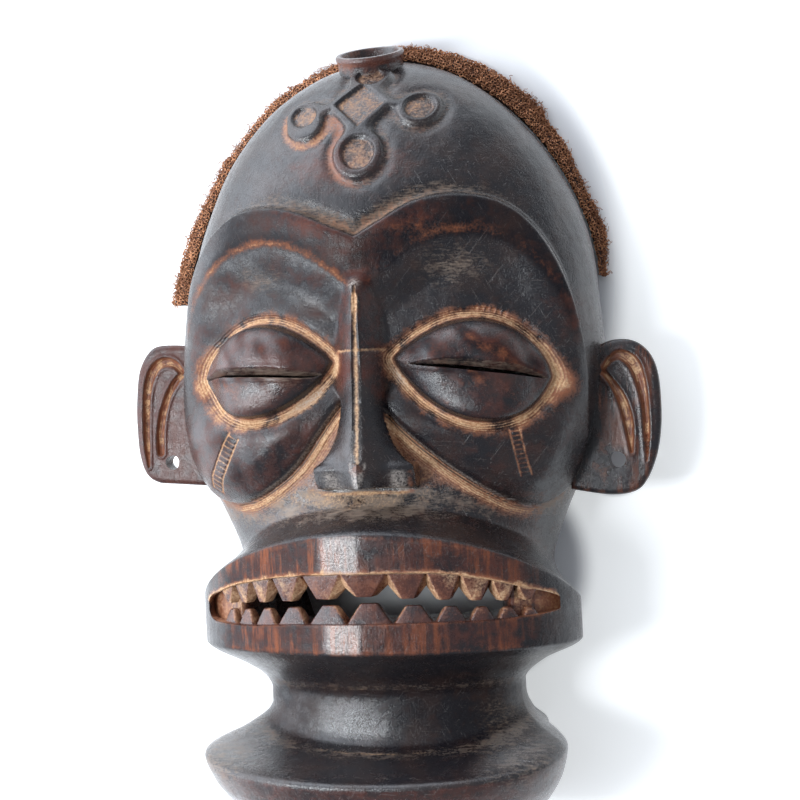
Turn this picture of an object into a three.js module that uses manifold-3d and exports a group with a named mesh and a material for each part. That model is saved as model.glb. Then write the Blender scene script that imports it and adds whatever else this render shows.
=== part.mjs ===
// A carved wooden face mask lying on its open back: a domed head with a heart-shaped face plate, closed
// almond eyes, a wide bill-like mouth with filed teeth, a waisted neck and a flaring beard collar.
// A strip of knotted fibre netting runs round the back rim of the dome.
// Millimetres. X runs across the face, +Y to the crown, +Z the way the face looks. The back rim lies on Z = 0.
import * as THREE from "three";
import { SimplifyModifier } from "three/addons/modifiers/SimplifyModifier.js";
import { mergeVertices } from "three/addons/utils/BufferGeometryUtils.js";
import Module from "manifold-3d";

const wasm = await Module();
wasm.setup();

// Driving dimensions of the whole mask.
const FOOT_Y = -150.39;
const DOME_Y = 50;
const DOME_RISE = 94;
const HEAD_HALF = 80.9;
const HEAD_RIM = 79.2;
const HEAD_DEPTH = 64;
const HEAD_KNEE = 22;
const DOME_BULGE = { across: 1.8, front: 2.5 };
const DOME_KNEE_GAIN = 0.45;

// The body is a loft of arches. Each row holds: grid line, y at the sides, y at the front, half width at the
// back rim, widest half width, height of that width, height of the front, roundness, and how late the side
// swells on its way from the rim to its widest.
const LINES = 32;
const DOME_LINE = 21;
const BODY = [
  [0, FOOT_Y, FOOT_Y, 44, 51, 36, 67, 2.1, 1],
  [0.7, -140, -143, 49, 61, 44, 78, 2.1, 1.2],
  [1.3, -129.5, -134.5, 53, 67.5, 49, 85, 2.1, 1.4],
  [2, -119.8, -126.8, 55, 70, 52, 88, 2.1, 1.6],
  [2.15, -118.4, -125.4, 54.5, 69.2, 51, 87.2, 2.1, 1.6],
  [2.8, -113.5, -122, 49, 58.5, 40, 71, 2.1, 1.4],
  [3.6, -108, -118, 46.5, 51.5, 31, 58, 2.1, 1],
  [4.1, -104, -112, 46, 50.3, 29, 56, 2.1, 1],
  [4.8, -99.5, -101, 46, 50.3, 29, 55.5, 2.1, 1],
  [5.3, -96, -96, 46.5, 52, 29, 57.5, 2.1, 1.2],
  [6.1, -89, -88.5, 48, 60, 33, 67, 2, 1.7],
  [6.85, -82.3, -81.9, 49.5, 72.8, 38, 79, 1.95, 2.2],
  [7, -80.9, -80.5, 50, 73.8, 39, 80.2, 1.95, 2.2],
  [10, -66.4, -38.4, 53, 73.8, 39, 80.2, 1.95, 2.2],
  [10.15, -65.2, -37, 53.5, 72.8, 38, 79, 1.95, 2.2],
  [10.6, -60.5, -33, 55, 66, 30, 68.5, 2, 1.7],
  [11.1, -53, -28.5, 58, 61, 18, 60.5, 2.1, 1.2],
  [12, -22, -22, 70, 72.5, 12, 58, 2.4, 1],
  [14.5, -2, -2, 77.5, 81, 14, 60, 2.6, 1],
  [17, 18, 18, 80, 83.6, 15, 62, 2.6, 1],
  [DOME_LINE, DOME_Y, DOME_Y, HEAD_RIM, HEAD_HALF, HEAD_KNEE, HEAD_DEPTH, 2.2, 1],
];

// The carver's two sides differ. At a grid line: share of the width at the rim and at the widest place on the
// left (at -X), and on the right.
const SIDES = [
  [0, 1, 1, 0.97, 0.97],
  [3, 1, 1, 0.97, 0.97],
  [5, 1, 1, 0.97, 0.97],
  [6.85, 1, 1, 1, 1],
  [10.15, 1, 1, 1, 1],
  [11.5, 1.03, 1.04, 1, 1],
  [12.5, 1.02, 1.03, 1, 1],
  [14.5, 1.03, 1, 1, 1],
  [18, 1.07, 0.962, 1.01, 1.01],
  [DOME_LINE, 1.075, 0.96, 1.02, 1.02],
];
const LIP_LINES = [7, 10];
const LIP_KEEL = { slope: 0.085, half: 17 };

// Grid lines where the carving of the face begins to stand out over the upper lip.
const FACE_FADE = [11.05, 11.5];
const DOME_ROUNDNESS = { low: 2.2, high: 1.97, by: 0.4 };
const SIDE_SHARE = 1 / 8;

// The outside is worked out on a grid of this many cells each way, and keeps this many points.
const BLOCK_CELLS = 320;
const BLOCK_POINTS = 2720;

// The hollow behind the face, with its own arches: y, half width at the rim, widest half width, height of
// that width, height of the front, roundness.
const HOLLOW = [
  [-133, 8, 9, 5, 10, 2],
  [-130, 25, 26, 10, 28, 2],
  [-122, 34, 36, 16, 39, 2.1],
  [-105, 37, 40, 18, 44, 2.1],
  [-88, 39, 44, 20, 48, 2.1],
  [-66, 45, 52, 20, 57, 2.1],
  [-45, 51.5, 52.5, 14, 52, 2.2],
  [-22, 62, 63.5, 10, 49, 2.4],
  [0, 70, 72, 12, 50.5, 2.5],
  [25, 73, 75.5, 12, 52, 2.5],
  [DOME_Y, 73, 74.5, 8, 53.5, 2.3],
];
const HOLLOW_RISE = 85;
const HOLLOW_STEPS = { along: 11, dome: 7, across: 20 };
const BELOW = 3;

// Face carving. The heart-shaped plate is outlined half by half, the sockets by one half outline for both.
// The slit of an eye: its share of the way from the inner corner, its middle over the line of the corners and
// half its height.
const PLATE_RIGHT = [
  [0, 70], [9, 74.8], [22, 81.5], [37, 83.2], [52, 79.5], [63, 70], [71, 55.5], [76, 38], [78.3, 20],
  [77.8, 6], [76, -8], [71, -21], [64.5, -29], [56.5, -31.3], [47, -27.5], [34, -18.5], [23, -9.5], [13, 0],
  [6, 8.5], [0, 17],
];
const PLATE_LEFT = [
  [0, 17], [-9, 9.5], [-17, -0.5], [-25, -10.5], [-34, -18.5], [-47.5, -25.8], [-59, -27.2], [-68, -23],
  [-74.5, -14.5], [-78, -2], [-78.5, 13], [-78, 29], [-74.5, 47], [-69, 63], [-60.5, 75], [-49, 81.8],
  [-35, 82.8], [-22, 79.8], [-10, 74.3], [0, 70],
];
const PLATE_STEP = 3;
const SOCKET = [
  [-2, 49], [2.8, 52], [11.5, 59], [21.5, 65.5], [33, 69.5], [46, 69], [58.5, 63], [68, 51.5], [73.5, 37],
  [75.5, 20], [76, -60], [-30, -60], [-30, 26],
];
const SOCKET_DEPTH = 6.5;
const SOCKET_REACH = 15;
const CHEEK_SWELL = 3.2;
const EYES = [
  {
    inner: [-11.5, 24.5], outer: [-65.5, 20.5], up: 17, down: 16.8,
    slit: [[0.08, -3.9, 0.2], [0.14, -3.6, 1.1], [0.4, -1.2, 1.9], [0.6, 0.1, 1.8], [0.8, 1, 1.5], [0.93, 0.2, 0.9],
      [1, -0.6, 0.2]],
  },
  {
    inner: [11.8, 24.8], outer: [67.5, 15.5], up: 17.8, down: 18.4,
    slit: [[0.09, -1.2, 0.1], [0.22, -0.2, 1.1], [0.5, 1.2, 2], [0.75, 1.2, 1.8], [0.95, -0.3, 0.5],
      [0.99, -0.7, 0.1]],
  },
];
const EYE_SWELL = 8.5;
const EYE_GROOVE = { depth: 1.7, width: 3.2 };
const SLIT = { open: 0.5, depth: 60, steps: 14 };

// The nose: y, height of its ridge, half width of its foot, fall from the ridge to the foot.
const NOSE = [
  [58, 64.5, 3, 1],
  [51, 69, 4.5, 4.5],
  [40, 70.3, 8, 9],
  [28, 71, 9.5, 9.5],
  [16, 71.8, 9, 8.5],
  [8, 72.6, 7.8, 8],
  [-1, 74, 9.3, 9],
  [-8, 75, 12, 9.5],
  [-12, 75.5, 15.6, 9.3],
  [-14.5, 75.8, 18.2, 8.8],
  [-22, 76.4, 18.5, 8.8],
];
const NOSE_GROOVE = { depth: 1.3, half: 1.7, from: 51, to: -13 };

// The knot carved on the forehead: a diamond frame with a loop at each corner. Places are measured along the
// surface from a point of the centre line.
const KNOT = {
  y: 120, arc: 78.5, loop: 8.2, eye: 5.3, strap: 3, height: 1.8, halo: 0.8, web: 6,
  loops: [[2.2, 17.5], [0.4, -21], [-22, -2.6], [21, -2.6]],
  diamond: { x: -0.6, up: 1, wide: 9, tall: 11 },
};

// The tube on the crown, leaning forwards.
const CROWN = { x: -0.9, y: 144.6, z: 27.5, lean: 21, radius: 13.4, bore: 11, height: 18, depth: 12, lip: 0.7 };

// Ears: flat plates with two gouged grooves and a pierced lobe. X counts away from the middle. A hole has its
// middle and radius, a groove's points x, y and half width.
const EAR = { front: 27, thick: 8, points: 34 };
const EARS = [
  {
    side: -1,
    hole: [90, -11.6, 2.9],
    outline: [
      [70, 33.5], [80, 34.8], [93, 35.5], [98.7, 33], [103, 25.6], [104.7, 14], [105, 2], [104.3, -8],
      [101.8, -15.8], [97, -19.4], [89.6, -20.3], [70, -21.8],
    ],
    grooves: [
      [[84, 24], [87.5, 27.8], [92, 28.6], [96.3, 25.8], [99.3, 18], [100.5, 4], [100.2, -13]],
      [[84, 23.5], [87.3, 20.5], [90.4, 15.5], [93.2, 8], [94.6, 0], [94.8, -7.5]],
    ],
  },
  {
    side: 1,
    hole: [87.9, -16.4, 3.2],
    outline: [
      [70, 20], [82.8, 26.9], [90, 28.8], [96.5, 27.6], [101.5, 23.1], [104.2, 16], [105, 6], [104.6, -5],
      [102.7, -15], [99, -23.6], [94.2, -28.3], [84.6, -29.4], [70, -27],
    ],
    grooves: [
      [[83.6, 17.4], [87, 21.5], [91, 22.8], [95.3, 19.6], [97.8, 13], [99.1, 4], [99, -17]],
      [[83.6, 17.2], [87.6, 12], [91, 5], [92.9, -4], [93.4, -13.5]],
    ],
  },
];
const EAR_GROOVE = 1.4;

// Mouth opening and its teeth: x, y of the upper edge, y of the lower edge.
const MOUTH = [
  [-67.8, -64.6, -69], [-66.8, -63.2, -71.2], [-63, -61, -73], [-49, -56.6, -73.6], [-25, -53, -72.4],
  [0, -52, -72], [25, -52.4, -72], [43, -55.4, -72], [58, -60, -71.4], [66.8, -63, -70.4], [68, -64, -69.4],
];
const MOUTH_END_DEPTH = 6.5;
const MOUTH_THROUGH = 40;
const UPPER_TEETH = [-58.5, -50.5, -42, -32, -16.5, 2.5, 18, 30.5, 42, 51.5];
const LOWER_TEETH = [-58, -50, -41, -29.5, -14.5, 3.5, 20, 33, 43.5, 53];
const TOOTH = { thick: 6, inset: 2.6, tip: 0.34, root: 1.6, overlap: 1.04, meet: -61.2, drop: 0.07, gap: 2.4 };

// Knotted netting along the rim of the dome: angle from +X, gap to the rim, width.
const NET = { thick: 4.6, edge: 2.6, steps: 44 };
const NET_ROWS = [
  [3, 1.2, 1.5], [6.7, 1.2, 2.8], [12.9, 1.2, 5.2], [16.5, 1.2, 4.6], [22.3, 1.2, 4.2], [28.2, 1.2, 4.6],
  [34, 1.2, 6.4], [38, 1.2, 6.6], [41.5, 1.2, 6.6], [43.6, 1.2, 8.6], [50.5, 1.2, 8.4], [60.5, 1.2, 8.1],
  [70, 1.3, 7.4], [79, 1.8, 5.6], [88, 1.9, 4.6], [100, 1.9, 4.3], [108, 2, 4.3], [113, 2.3, 4.5],
  [119, 2.8, 4.9], [125.6, 3.2, 5.3], [131.6, 3.4, 3.9], [138, 3.3, 3.7], [144, 3, 5], [150, 2.6, 4.6],
  [155.6, 2.5, 5], [161.6, 2.2, 6.6], [168, 2.6, 6.4], [173, 3.2, 7.2], [178.5, 3.6, 7.6],
];

const { cos, sin, abs, hypot, PI, sqrt, min, max, sign } = Math;
const clamp = THREE.MathUtils.clamp;
const rad = THREE.MathUtils.degToRad;
const smooth = (from, to, t) => {
  const s = clamp((t - from) / (to - from), 0, 1);
  return s * s * (3 - 2 * s);
};
const bell = (t, width) => Math.exp(-((t / width) ** 2));
const blend = (a, b, reach) => max(a, b) + max(reach - abs(a - b), 0) ** 2 / reach / 4;

// A smooth curve through rows of numbers, without overshoot: returns the row between them at a given first value.
function through(rows) {
  const order = rows[0][0] < rows[rows.length - 1][0] ? rows : [...rows].reverse();
  const keys = order.map((row) => row[0]);
  const slopes = order.map((row, i) =>
    row.slice(1).map((value, c) => {
      if (i === 0 || i === order.length - 1) return 0;
      const before = (value - order[i - 1][c + 1]) / (keys[i] - keys[i - 1]);
      const after = (order[i + 1][c + 1] - value) / (keys[i + 1] - keys[i]);
      return before * after <= 0 ? 0 : (2 * before * after) / (before + after);
    }),
  );
  return (key) => {
    const k = clamp(key, keys[0], keys[keys.length - 1]);
    let i = 0;
    while (i < keys.length - 2 && k > keys[i + 1]) i += 1;
    const span = keys[i + 1] - keys[i];
    const t = (k - keys[i]) / span;
    return order[i].slice(1).map((value, c) => {
      const next = order[i + 1][c + 1];
      const bend = t * (1 - t) * ((1 - t) * slopes[i][c] - t * slopes[i + 1][c]) * span;
      return value + (next - value) * t * t * (3 - 2 * t) + bend;
    });
  };
}

// Signed distance to a closed outline in the front view, positive inside.
function outline(points) {
  return (x, y) => {
    let nearest = Infinity;
    let inside = false;
    for (let i = 0, j = points.length - 1; i < points.length; j = i, i += 1) {
      const [ax, ay] = points[i];
      const [bx, by] = points[j];
      const length = (bx - ax) ** 2 + (by - ay) ** 2 || 1;
      const t = clamp(((x - ax) * (bx - ax) + (y - ay) * (by - ay)) / length, 0, 1);
      nearest = min(nearest, hypot(x - ax - t * (bx - ax), y - ay - t * (by - ay)));
      if (ay > y !== by > y && x < ax + ((y - ay) * (bx - ax)) / (by - ay)) inside = !inside;
    }
    return inside ? nearest : -nearest;
  };
}

const spline = (points, count) =>
  new THREE.SplineCurve(points.map(([x, y]) => new THREE.Vector2(x, y))).getPoints(count).map((p) => [p.x, p.y]);

const plateInside = outline([...spline(PLATE_RIGHT, 60), ...spline(PLATE_LEFT, 60)]);
const socketInside = outline([...spline(SOCKET.slice(0, 10), 40), ...SOCKET.slice(10)]);
const noseAt = through(NOSE);
const bodyAt = through(BODY);
const sidesAt = through(SIDES);

// How far inside an almond eye a point is, in millimetres, and where it lies from the inner corner (-1) to the outer (1).
function eyeInside(x, y, eye) {
  const [dx, dy] = [eye.outer[0] - eye.inner[0], eye.outer[1] - eye.inner[1]];
  const half = hypot(dx, dy) / 2;
  const [ex, ey] = [dx / half / 2, dy / half / 2];
  const [px, py] = [x - eye.inner[0] - dx / 2, y - eye.inner[1] - dy / 2];
  const along = (px * ex + py * ey) / half;
  const across = (py * ex - px * ey) * sign(dx);
  if (abs(along) >= 1) return { inside: -hypot((abs(along) - 1) * half, across), along, across };
  const lid = (t) => 1.02 * (1 + t) ** 0.9 * (1 - t) ** 0.68;
  const reach = (across > 0 ? eye.up : eye.down) * lid(along);
  const near = [max(along - 0.02, -1), min(along + 0.02, 1)];
  const slope = ((across > 0 ? eye.up : eye.down) * (lid(near[1]) - lid(near[0]))) / (near[1] - near[0]) / half;
  return { inside: (reach - abs(across)) / hypot(1, slope), along, across };
}

// Arc length up the dome from the middle of the knot, for a place at height y.
const domeAngle = (y) => Math.asin(clamp((y - DOME_Y) / DOME_RISE, -1, 1));

// Height of the forehead knot over the dome.
function knotHeight(x, y) {
  const up = (domeAngle(y) - domeAngle(KNOT.y)) * KNOT.arc;
  const { wide, tall } = KNOT.diamond;
  const [aside, above] = [abs(x - KNOT.diamond.x), abs(up - KNOT.diamond.up)];
  const within = (1 - aside / wide - above / tall) / hypot(1 / wide, 1 / tall);
  const nearest = min(...KNOT.loops.map(([cx, cy]) => hypot(x - cx, up - cy)));
  const outer = blend(KNOT.loop - nearest, within + KNOT.strap, KNOT.web);
  const inner = max(KNOT.eye - nearest, within);
  const raised = KNOT.height * (smooth(-0.8, 0.8, outer) - 1.1 * smooth(-0.7, 0.7, inner));
  return raised - KNOT.halo * bell(outer + 1.8, 2.2);
}

// Height of the face carving over the plain head, at a place in the front view.
function faceHeight(x, y, plain) {
  const plate = plateInside(x, y);
  let height = PLATE_STEP * smooth(-1, 1, plate);
  height -= 1.3 * bell(plate + 2.4, 2.6) * smooth(60, 70, y) * bell(x, 42);
  height += CHEEK_SWELL * smooth(0, 11, plate) * smooth(14, -4, y);
  const socket = socketInside(abs(x), y);
  height -= SOCKET_DEPTH * smooth(0, SOCKET_REACH, socket) * smooth(-4, 20, y);
  for (const eye of EYES) {
    if (x * eye.outer[0] < 0) continue;
    const { inside, along } = eyeInside(x, y, eye);
    const full = clamp(inside / 13, 0, 1);
    const ends = smooth(1, 0.35, abs(along));
    height += EYE_SWELL * (0.35 + 0.65 * ends) * sqrt(1 - (1 - full) ** 2) * smooth(-0.2, 1, inside);
    height -= EYE_GROOVE.depth * bell(inside + EYE_GROOVE.width / 2, EYE_GROOVE.width / 1.8);
  }
  const [ridge, foot, fall] = noseAt(y);
  const within = foot - abs(x);
  if (y < NOSE[0][0] && y > -24 && within > -1.5) {
    const roof = ridge - fall * (abs(x) / foot) ** 1.5 - plain;
    const cut = smooth(-1.2, 0.2, within) * smooth(-23, -21.6, y);
    height += max(0, roof - height) * cut;
  }
  if (y < NOSE_GROOVE.from && y > NOSE_GROOVE.to) {
    height -= NOSE_GROOVE.depth * clamp(1 - abs(x) / NOSE_GROOVE.half, 0, 1);
  }
  return height;
}

// The row of the body's table at a grid line, with the dome worked out as an ellipsoid.
function arch(line) {
  const sides = sidesAt(line);
  if (line <= DOME_LINE) {
    const [ySide, yFront, rim, wide, knee, top, round, late] = bodyAt(line);
    return { ySide, yFront, rim, wide, knee, top, round, late, sides };
  }
  const rise = ((line - DOME_LINE) / (LINES - DOME_LINE)) * (PI / 2);
  const y = DOME_Y + DOME_RISE * sin(rise);
  const left = (power) => max(1 - sin(rise) ** power, 0) ** (1 / power);
  const across = left(DOME_BULGE.across);
  const front = left(DOME_BULGE.front);
  const { low, high, by } = DOME_ROUNDNESS;
  const round = THREE.MathUtils.lerp(low, high, smooth(0, by, rise));
  const knee = HEAD_KNEE * front * (1 + DOME_KNEE_GAIN * smooth(0.3, 1.2, rise));
  const widths = { rim: HEAD_RIM * across, wide: HEAD_HALF * across };
  return { ySide: y, yFront: y, ...widths, knee, top: HEAD_DEPTH * front, round, late: 1, sides };
}

// A point of an arch, from the left rim (0) over the front to the right rim (1).
function onArch(a, across) {
  const side = across < 0.5 ? -1 : 1;
  const [atRim, atWidest] = side < 0 ? a.sides.slice(0, 2) : a.sides.slice(2);
  const [rim, wide] = [a.rim * atRim, a.wide * atWidest];
  const u = min(across, 1 - across);
  if (u < SIDE_SHARE) {
    const s = u / SIDE_SHARE;
    return [side * (rim + (wide - rim) * sin((s * PI) / 2) ** a.late), a.ySide, a.knee * s];
  }
  const turn = ((u - SIDE_SHARE) / (0.5 - SIDE_SHARE)) * (PI / 2);
  const up = sin(turn) ** (2 / a.round);
  const x = side * wide * max(cos(turn), 0) ** (2 / a.round);
  return [x, a.ySide + (a.yFront - a.ySide) * up ** 1.2, a.knee + (a.top - a.knee) * up];
}

// How far the lips fall away from their middle line.
const keel = (x) => LIP_KEEL.slope * LIP_KEEL.half * Math.tanh(abs(x) / LIP_KEEL.half);

function outerPoint(across, along) {
  const line = along * LINES;
  const a = arch(line);
  const [x, y, z] = onArch(a, across);
  const point = new THREE.Vector3(x, y, z);
  if (line > LIP_LINES[0] - 0.1 && line < LIP_LINES[1] + 0.1) point.z -= keel(x) * smooth(30, 50, z);
  if (line < FACE_FADE[0] || z < 1) return point;
  const out = new THREE.Vector3(x / HEAD_HALF ** 2, max(y - DOME_Y, 0) / DOME_RISE ** 2, z / HEAD_DEPTH ** 2);
  const carved = (line > DOME_LINE ? knotHeight(x, y) : 0) + faceHeight(x, y, z);
  return point.addScaledVector(out.normalize(), carved * smooth(1, 12, z) * smooth(...FACE_FADE, line));
}

// Points and triangles as a geometry of shared points, without slivers of no area.
function welded(points, triangles) {
  const geometry = new THREE.BufferGeometry().setFromPoints(points).setIndex(triangles.flat());
  const merged = mergeVertices(geometry, 1e-4);
  const kept = [];
  const index = merged.index.array;
  for (let i = 0; i < index.length; i += 3) {
    const [a, b, c] = [index[i], index[i + 1], index[i + 2]];
    if (a !== b && b !== c && c !== a) kept.push(a, b, c);
  }
  return merged.setIndex(kept);
}

// The solid of a closed geometry, whose shared points are merged first.
function solidOf(geometry) {
  const bare = new THREE.BufferGeometry().setAttribute("position", geometry.getAttribute("position"));
  const { attributes, index } = mergeVertices(geometry.index ? bare.setIndex(geometry.index) : bare, 1e-4);
  const vertProperties = attributes.position.array;
  return new wasm.Manifold(new wasm.Mesh({ numProp: 3, vertProperties, triVerts: new Uint32Array(index.array) }));
}

// A solid skinned over rings of points, closed by a flat cap at each end. Rings turn anticlockwise seen from the last one.
function skin(rings) {
  const count = rings[0].length;
  const points = rings.flat();
  const triangles = [];
  for (let r = 0; r < rings.length - 1; r += 1) {
    for (let i = 0; i < count; i += 1) {
      const [a, b] = [r * count + i, r * count + ((i + 1) % count)];
      triangles.push([a, b, b + count], [a, b + count, a + count]);
    }
  }
  const last = (rings.length - 1) * count;
  for (let i = 1; i < count - 1; i += 1) {
    triangles.push([0, i + 1, i], [last, last + i, last + i + 1]);
  }
  return solidOf(welded(points, triangles));
}

// Turns each triangle so that its normal points along one axis.
function facing(triangles, points, axis, way) {
  return triangles.map(([a, b, c]) => {
    const normal = points[b].clone().sub(points[a]).cross(points[c].clone().sub(points[a]));
    return normal.getComponent(axis) * way > 0 ? [a, b, c] : [a, c, b];
  });
}

// The whole carved block: a fine sheet of the outside, closed by the flat back and the flat foot, then
// thinned to as few points as its carving needs.
async function carvedBlock() {
  const row = BLOCK_CELLS + 1;
  const grid = Array.from({ length: row * row }, (_, k) =>
    outerPoint((k % row) / BLOCK_CELLS, Math.floor(k / row) / BLOCK_CELLS),
  );
  const triangles = [];
  for (let y = 0; y < BLOCK_CELLS; y += 1) {
    for (let x = 0; x < BLOCK_CELLS; x += 1) {
      const k = y * row + x;
      triangles.push([k, k + 1, k + row + 1], [k, k + row + 1, k + row]);
    }
  }
  const edge = (pick) => Array.from({ length: row }, (_, k) => pick(k));
  const left = edge((k) => k * row);
  const right = edge((k) => k * row + BLOCK_CELLS);
  const cap = (loop, flat) =>
    THREE.ShapeUtils.triangulateShape(loop.map((k) => flat(grid[k])), []).map((t) => t.map((i) => loop[i]));
  const back = cap([...left, ...[...right].reverse().slice(1)], (p) => new THREE.Vector2(p.x, p.y));
  const foot = cap(edge((k) => k), (p) => new THREE.Vector2(p.x, p.z));
  const closed = welded(grid, [...triangles, ...facing(back, grid, 2, -1), ...facing(foot, grid, 1, -1)]);
  const spare = closed.getAttribute("position").count - BLOCK_POINTS;
  return solidOf(await new SimplifyModifier().modify(closed, spare));
}

function hollow() {
  const at = through(HOLLOW);
  const { along, dome, across } = HOLLOW_STEPS;
  const ys = Array.from({ length: along + 1 }, (_, i) => THREE.MathUtils.lerp(HOLLOW[0][0], DOME_Y, i / along));
  const rows = ys.map((y) => {
    const [rim, wide, knee, top, round] = at(y);
    return { ySide: y, yFront: y, rim, wide, knee, top, round, late: 1, sides: [1, 1, 1, 1] };
  });
  const last = rows[rows.length - 1];
  for (let i = 1; i <= dome; i += 1) {
    const rise = ((i / dome) * PI) / 2 - 0.04;
    const y = DOME_Y + HOLLOW_RISE * sin(rise);
    const left = cos(rise);
    const scaled = { rim: last.rim * left, wide: last.wide * left, knee: last.knee * left, top: last.top * left };
    rows.push({ ySide: y, yFront: y, ...scaled, round: 2.2, late: 1, sides: last.sides });
  }
  return skin(
    rows.map((row) => {
      const ring = Array.from({ length: across + 1 }, (_, i) => new THREE.Vector3(...onArch(row, i / across)));
      return [
        ...ring,
        new THREE.Vector3(row.rim, row.ySide, -BELOW),
        new THREE.Vector3(-row.rim, row.ySide, -BELOW),
      ];
    }),
  );
}

// Height of the lips' front at a place across the mouth.
const LIPS = arch(8);
const lipFront = (x) => {
  const share = max(1 - (abs(x) / LIPS.wide) ** LIPS.round, 0) ** (1 / LIPS.round);
  return LIPS.knee + (LIPS.top - LIPS.knee) * share - keel(x);
};

function mouthCut() {
  const at = through(MOUTH);
  const steps = 26;
  const rings = Array.from({ length: steps + 1 }, (_, i) => {
    const x = THREE.MathUtils.lerp(MOUTH[0][0], MOUTH[MOUTH.length - 1][0], i / steps);
    const [high, low] = at(x);
    const shallow = lipFront(x) - MOUTH_END_DEPTH;
    const back = THREE.MathUtils.lerp(28, shallow, smooth(MOUTH_THROUGH, MOUTH_THROUGH + 12, abs(x)));
    const front = 100;
    return [[low, front], [high, front], [high, back], [low, back]].map(([y, z]) => new THREE.Vector3(x, y, z));
  });
  return skin(rings.map((ring) => ring.reverse()));
}

// A filed tooth: a four-sided wedge that narrows from the gum to its tip.
function tooth(x, wide, root, tip) {
  const height = abs(tip - root) + TOOTH.root;
  const shape = new THREE.CylinderGeometry(TOOTH.tip * sqrt(0.5), sqrt(0.5), height, 4);
  shape.rotateY(PI / 4);
  shape.scale(wide, 1, TOOTH.thick);
  if (tip < root) shape.rotateZ(PI);
  const ahead = lipFront(x + 1) - lipFront(x - 1);
  shape.rotateY(-Math.atan2(ahead, 2));
  const middle = (root + tip) / 2 + (sign(root - tip) * TOOTH.root) / 2;
  shape.translate(x, middle, lipFront(x) - TOOTH.inset - TOOTH.thick / 2);
  return solidOf(shape);
}

// Both rows of teeth. Each tooth meets its neighbours at the gum.
function teeth() {
  const at = through(MOUTH);
  const row = (places, side) =>
    places.map((x, i) => {
      const before = x - (places[i - 1] ?? 2 * x - places[1]);
      const after = (places[i + 1] ?? 2 * x - places[i - 1]) - x;
      const middle = x + (after - before) / 4;
      const tip = TOOTH.meet - abs(x) * TOOTH.drop + (side === 0 ? 1 : -1) * (TOOTH.gap / 2);
      return tooth(middle, ((before + after) / 2) * TOOTH.overlap, at(middle)[side], tip);
    });
  return [...row(UPPER_TEETH, 0), ...row(LOWER_TEETH, 1)];
}

// The narrow opening along an eye, in the lower part of its slit.
function eyeSlit(eye) {
  const at = through(eye.slit);
  const [dx, dy] = [eye.outer[0] - eye.inner[0], eye.outer[1] - eye.inner[1]];
  const length = hypot(dx, dy) * sign(dx);
  const first = eye.slit[0][0] + 0.02;
  const last = eye.slit[eye.slit.length - 1][0] - 0.02;
  const rail = (way) =>
    Array.from({ length: SLIT.steps + 1 }, (_, i) => {
      const share = THREE.MathUtils.lerp(first, last, i / SLIT.steps);
      const [middle, half] = at(share);
      const off = middle - half + half * SLIT.open * (1 + way);
      return new THREE.Vector2(eye.inner[0] + dx * share - (dy / length) * off, eye.inner[1] + dy * share + (dx / length) * off);
    });
  const shape = new THREE.Shape([...rail(1), ...rail(-1).reverse()]);
  const cut = new THREE.ExtrudeGeometry(shape, { depth: SLIT.depth, bevelEnabled: false, curveSegments: 1 });
  cut.translate(0, 0, 25);
  return solidOf(cut);
}

function ear({ side, outline: rows, grooves }) {
  const rim = new THREE.SplineCurve(rows.map(([x, y]) => new THREE.Vector2(side * x, y))).getPoints(EAR.points);
  const plate = new THREE.ExtrudeGeometry(new THREE.Shape(rim), { depth: EAR.thick, bevelEnabled: false });
  plate.translate(0, 0, EAR.front - EAR.thick);
  let made = solidOf(plate);
  for (const groove of grooves) {
    const route = groove.map(([x, y]) => new THREE.Vector3(side * x, y, EAR.front + 0.2));
    const section = new THREE.Shape(new THREE.EllipseCurve(0, 0, EAR_GROOVE, EAR_GROOVE).getPoints(6));
    const path = new THREE.CatmullRomCurve3(route);
    made = made.subtract(solidOf(new THREE.ExtrudeGeometry(section, { steps: 12, extrudePath: path })));
  }
  return made;
}

function earHole({ side, hole: [x, y, radius] }) {
  const hole = new THREE.CylinderGeometry(radius, radius, EAR.thick * 3, 20);
  hole.rotateX(PI / 2);
  hole.translate(side * x, y, EAR.front - EAR.thick / 2);
  return solidOf(hole);
}

// Puts a shape made round the Y axis on the crown, its mouth at the top of the tube.
function onCrown(shape) {
  shape.rotateX(rad(CROWN.lean));
  shape.translate(CROWN.x, CROWN.y, CROWN.z);
  return solidOf(shape);
}

function crownTube() {
  const { radius, height, lip } = CROWN;
  const profile = [[0, -height], [radius - lip, -height], [radius - lip, -3], [radius, -1.6], [radius, 0], [0, 0]];
  return onCrown(new THREE.LatheGeometry(profile.map(([r, y]) => new THREE.Vector2(r, y)), 36));
}

function crownBore() {
  const bore = new THREE.CylinderGeometry(CROWN.bore, CROWN.bore - 1, CROWN.depth + 2, 36);
  bore.translate(0, 1 - CROWN.depth / 2, 0);
  return onCrown(bore);
}

async function carvedMask() {
  const block = await carvedBlock();
  let wood = block.subtract(hollow());
  wood = wood.subtract(mouthCut());
  for (const one of teeth()) wood = wood.add(one);
  for (const eye of EYES) wood = wood.subtract(eyeSlit(eye));
  for (const one of EARS) wood = wood.add(ear(one).subtract(hollow())).subtract(earHole(one));
  return wood.add(crownTube().subtract(hollow())).subtract(crownBore());
}

// A place on the dome's back rim, by an angle counted from +X.
function rimAt(turn) {
  const power = DOME_BULGE.across;
  const up = max(sin(turn), 0) ** power;
  const [left, , right] = sidesAt(LINES);
  const half = HEAD_RIM * (cos(turn) < 0 ? -left : right);
  return new THREE.Vector2(half * max(1 - up, 0) ** (1 / power), DOME_RISE * sin(turn));
}

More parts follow.
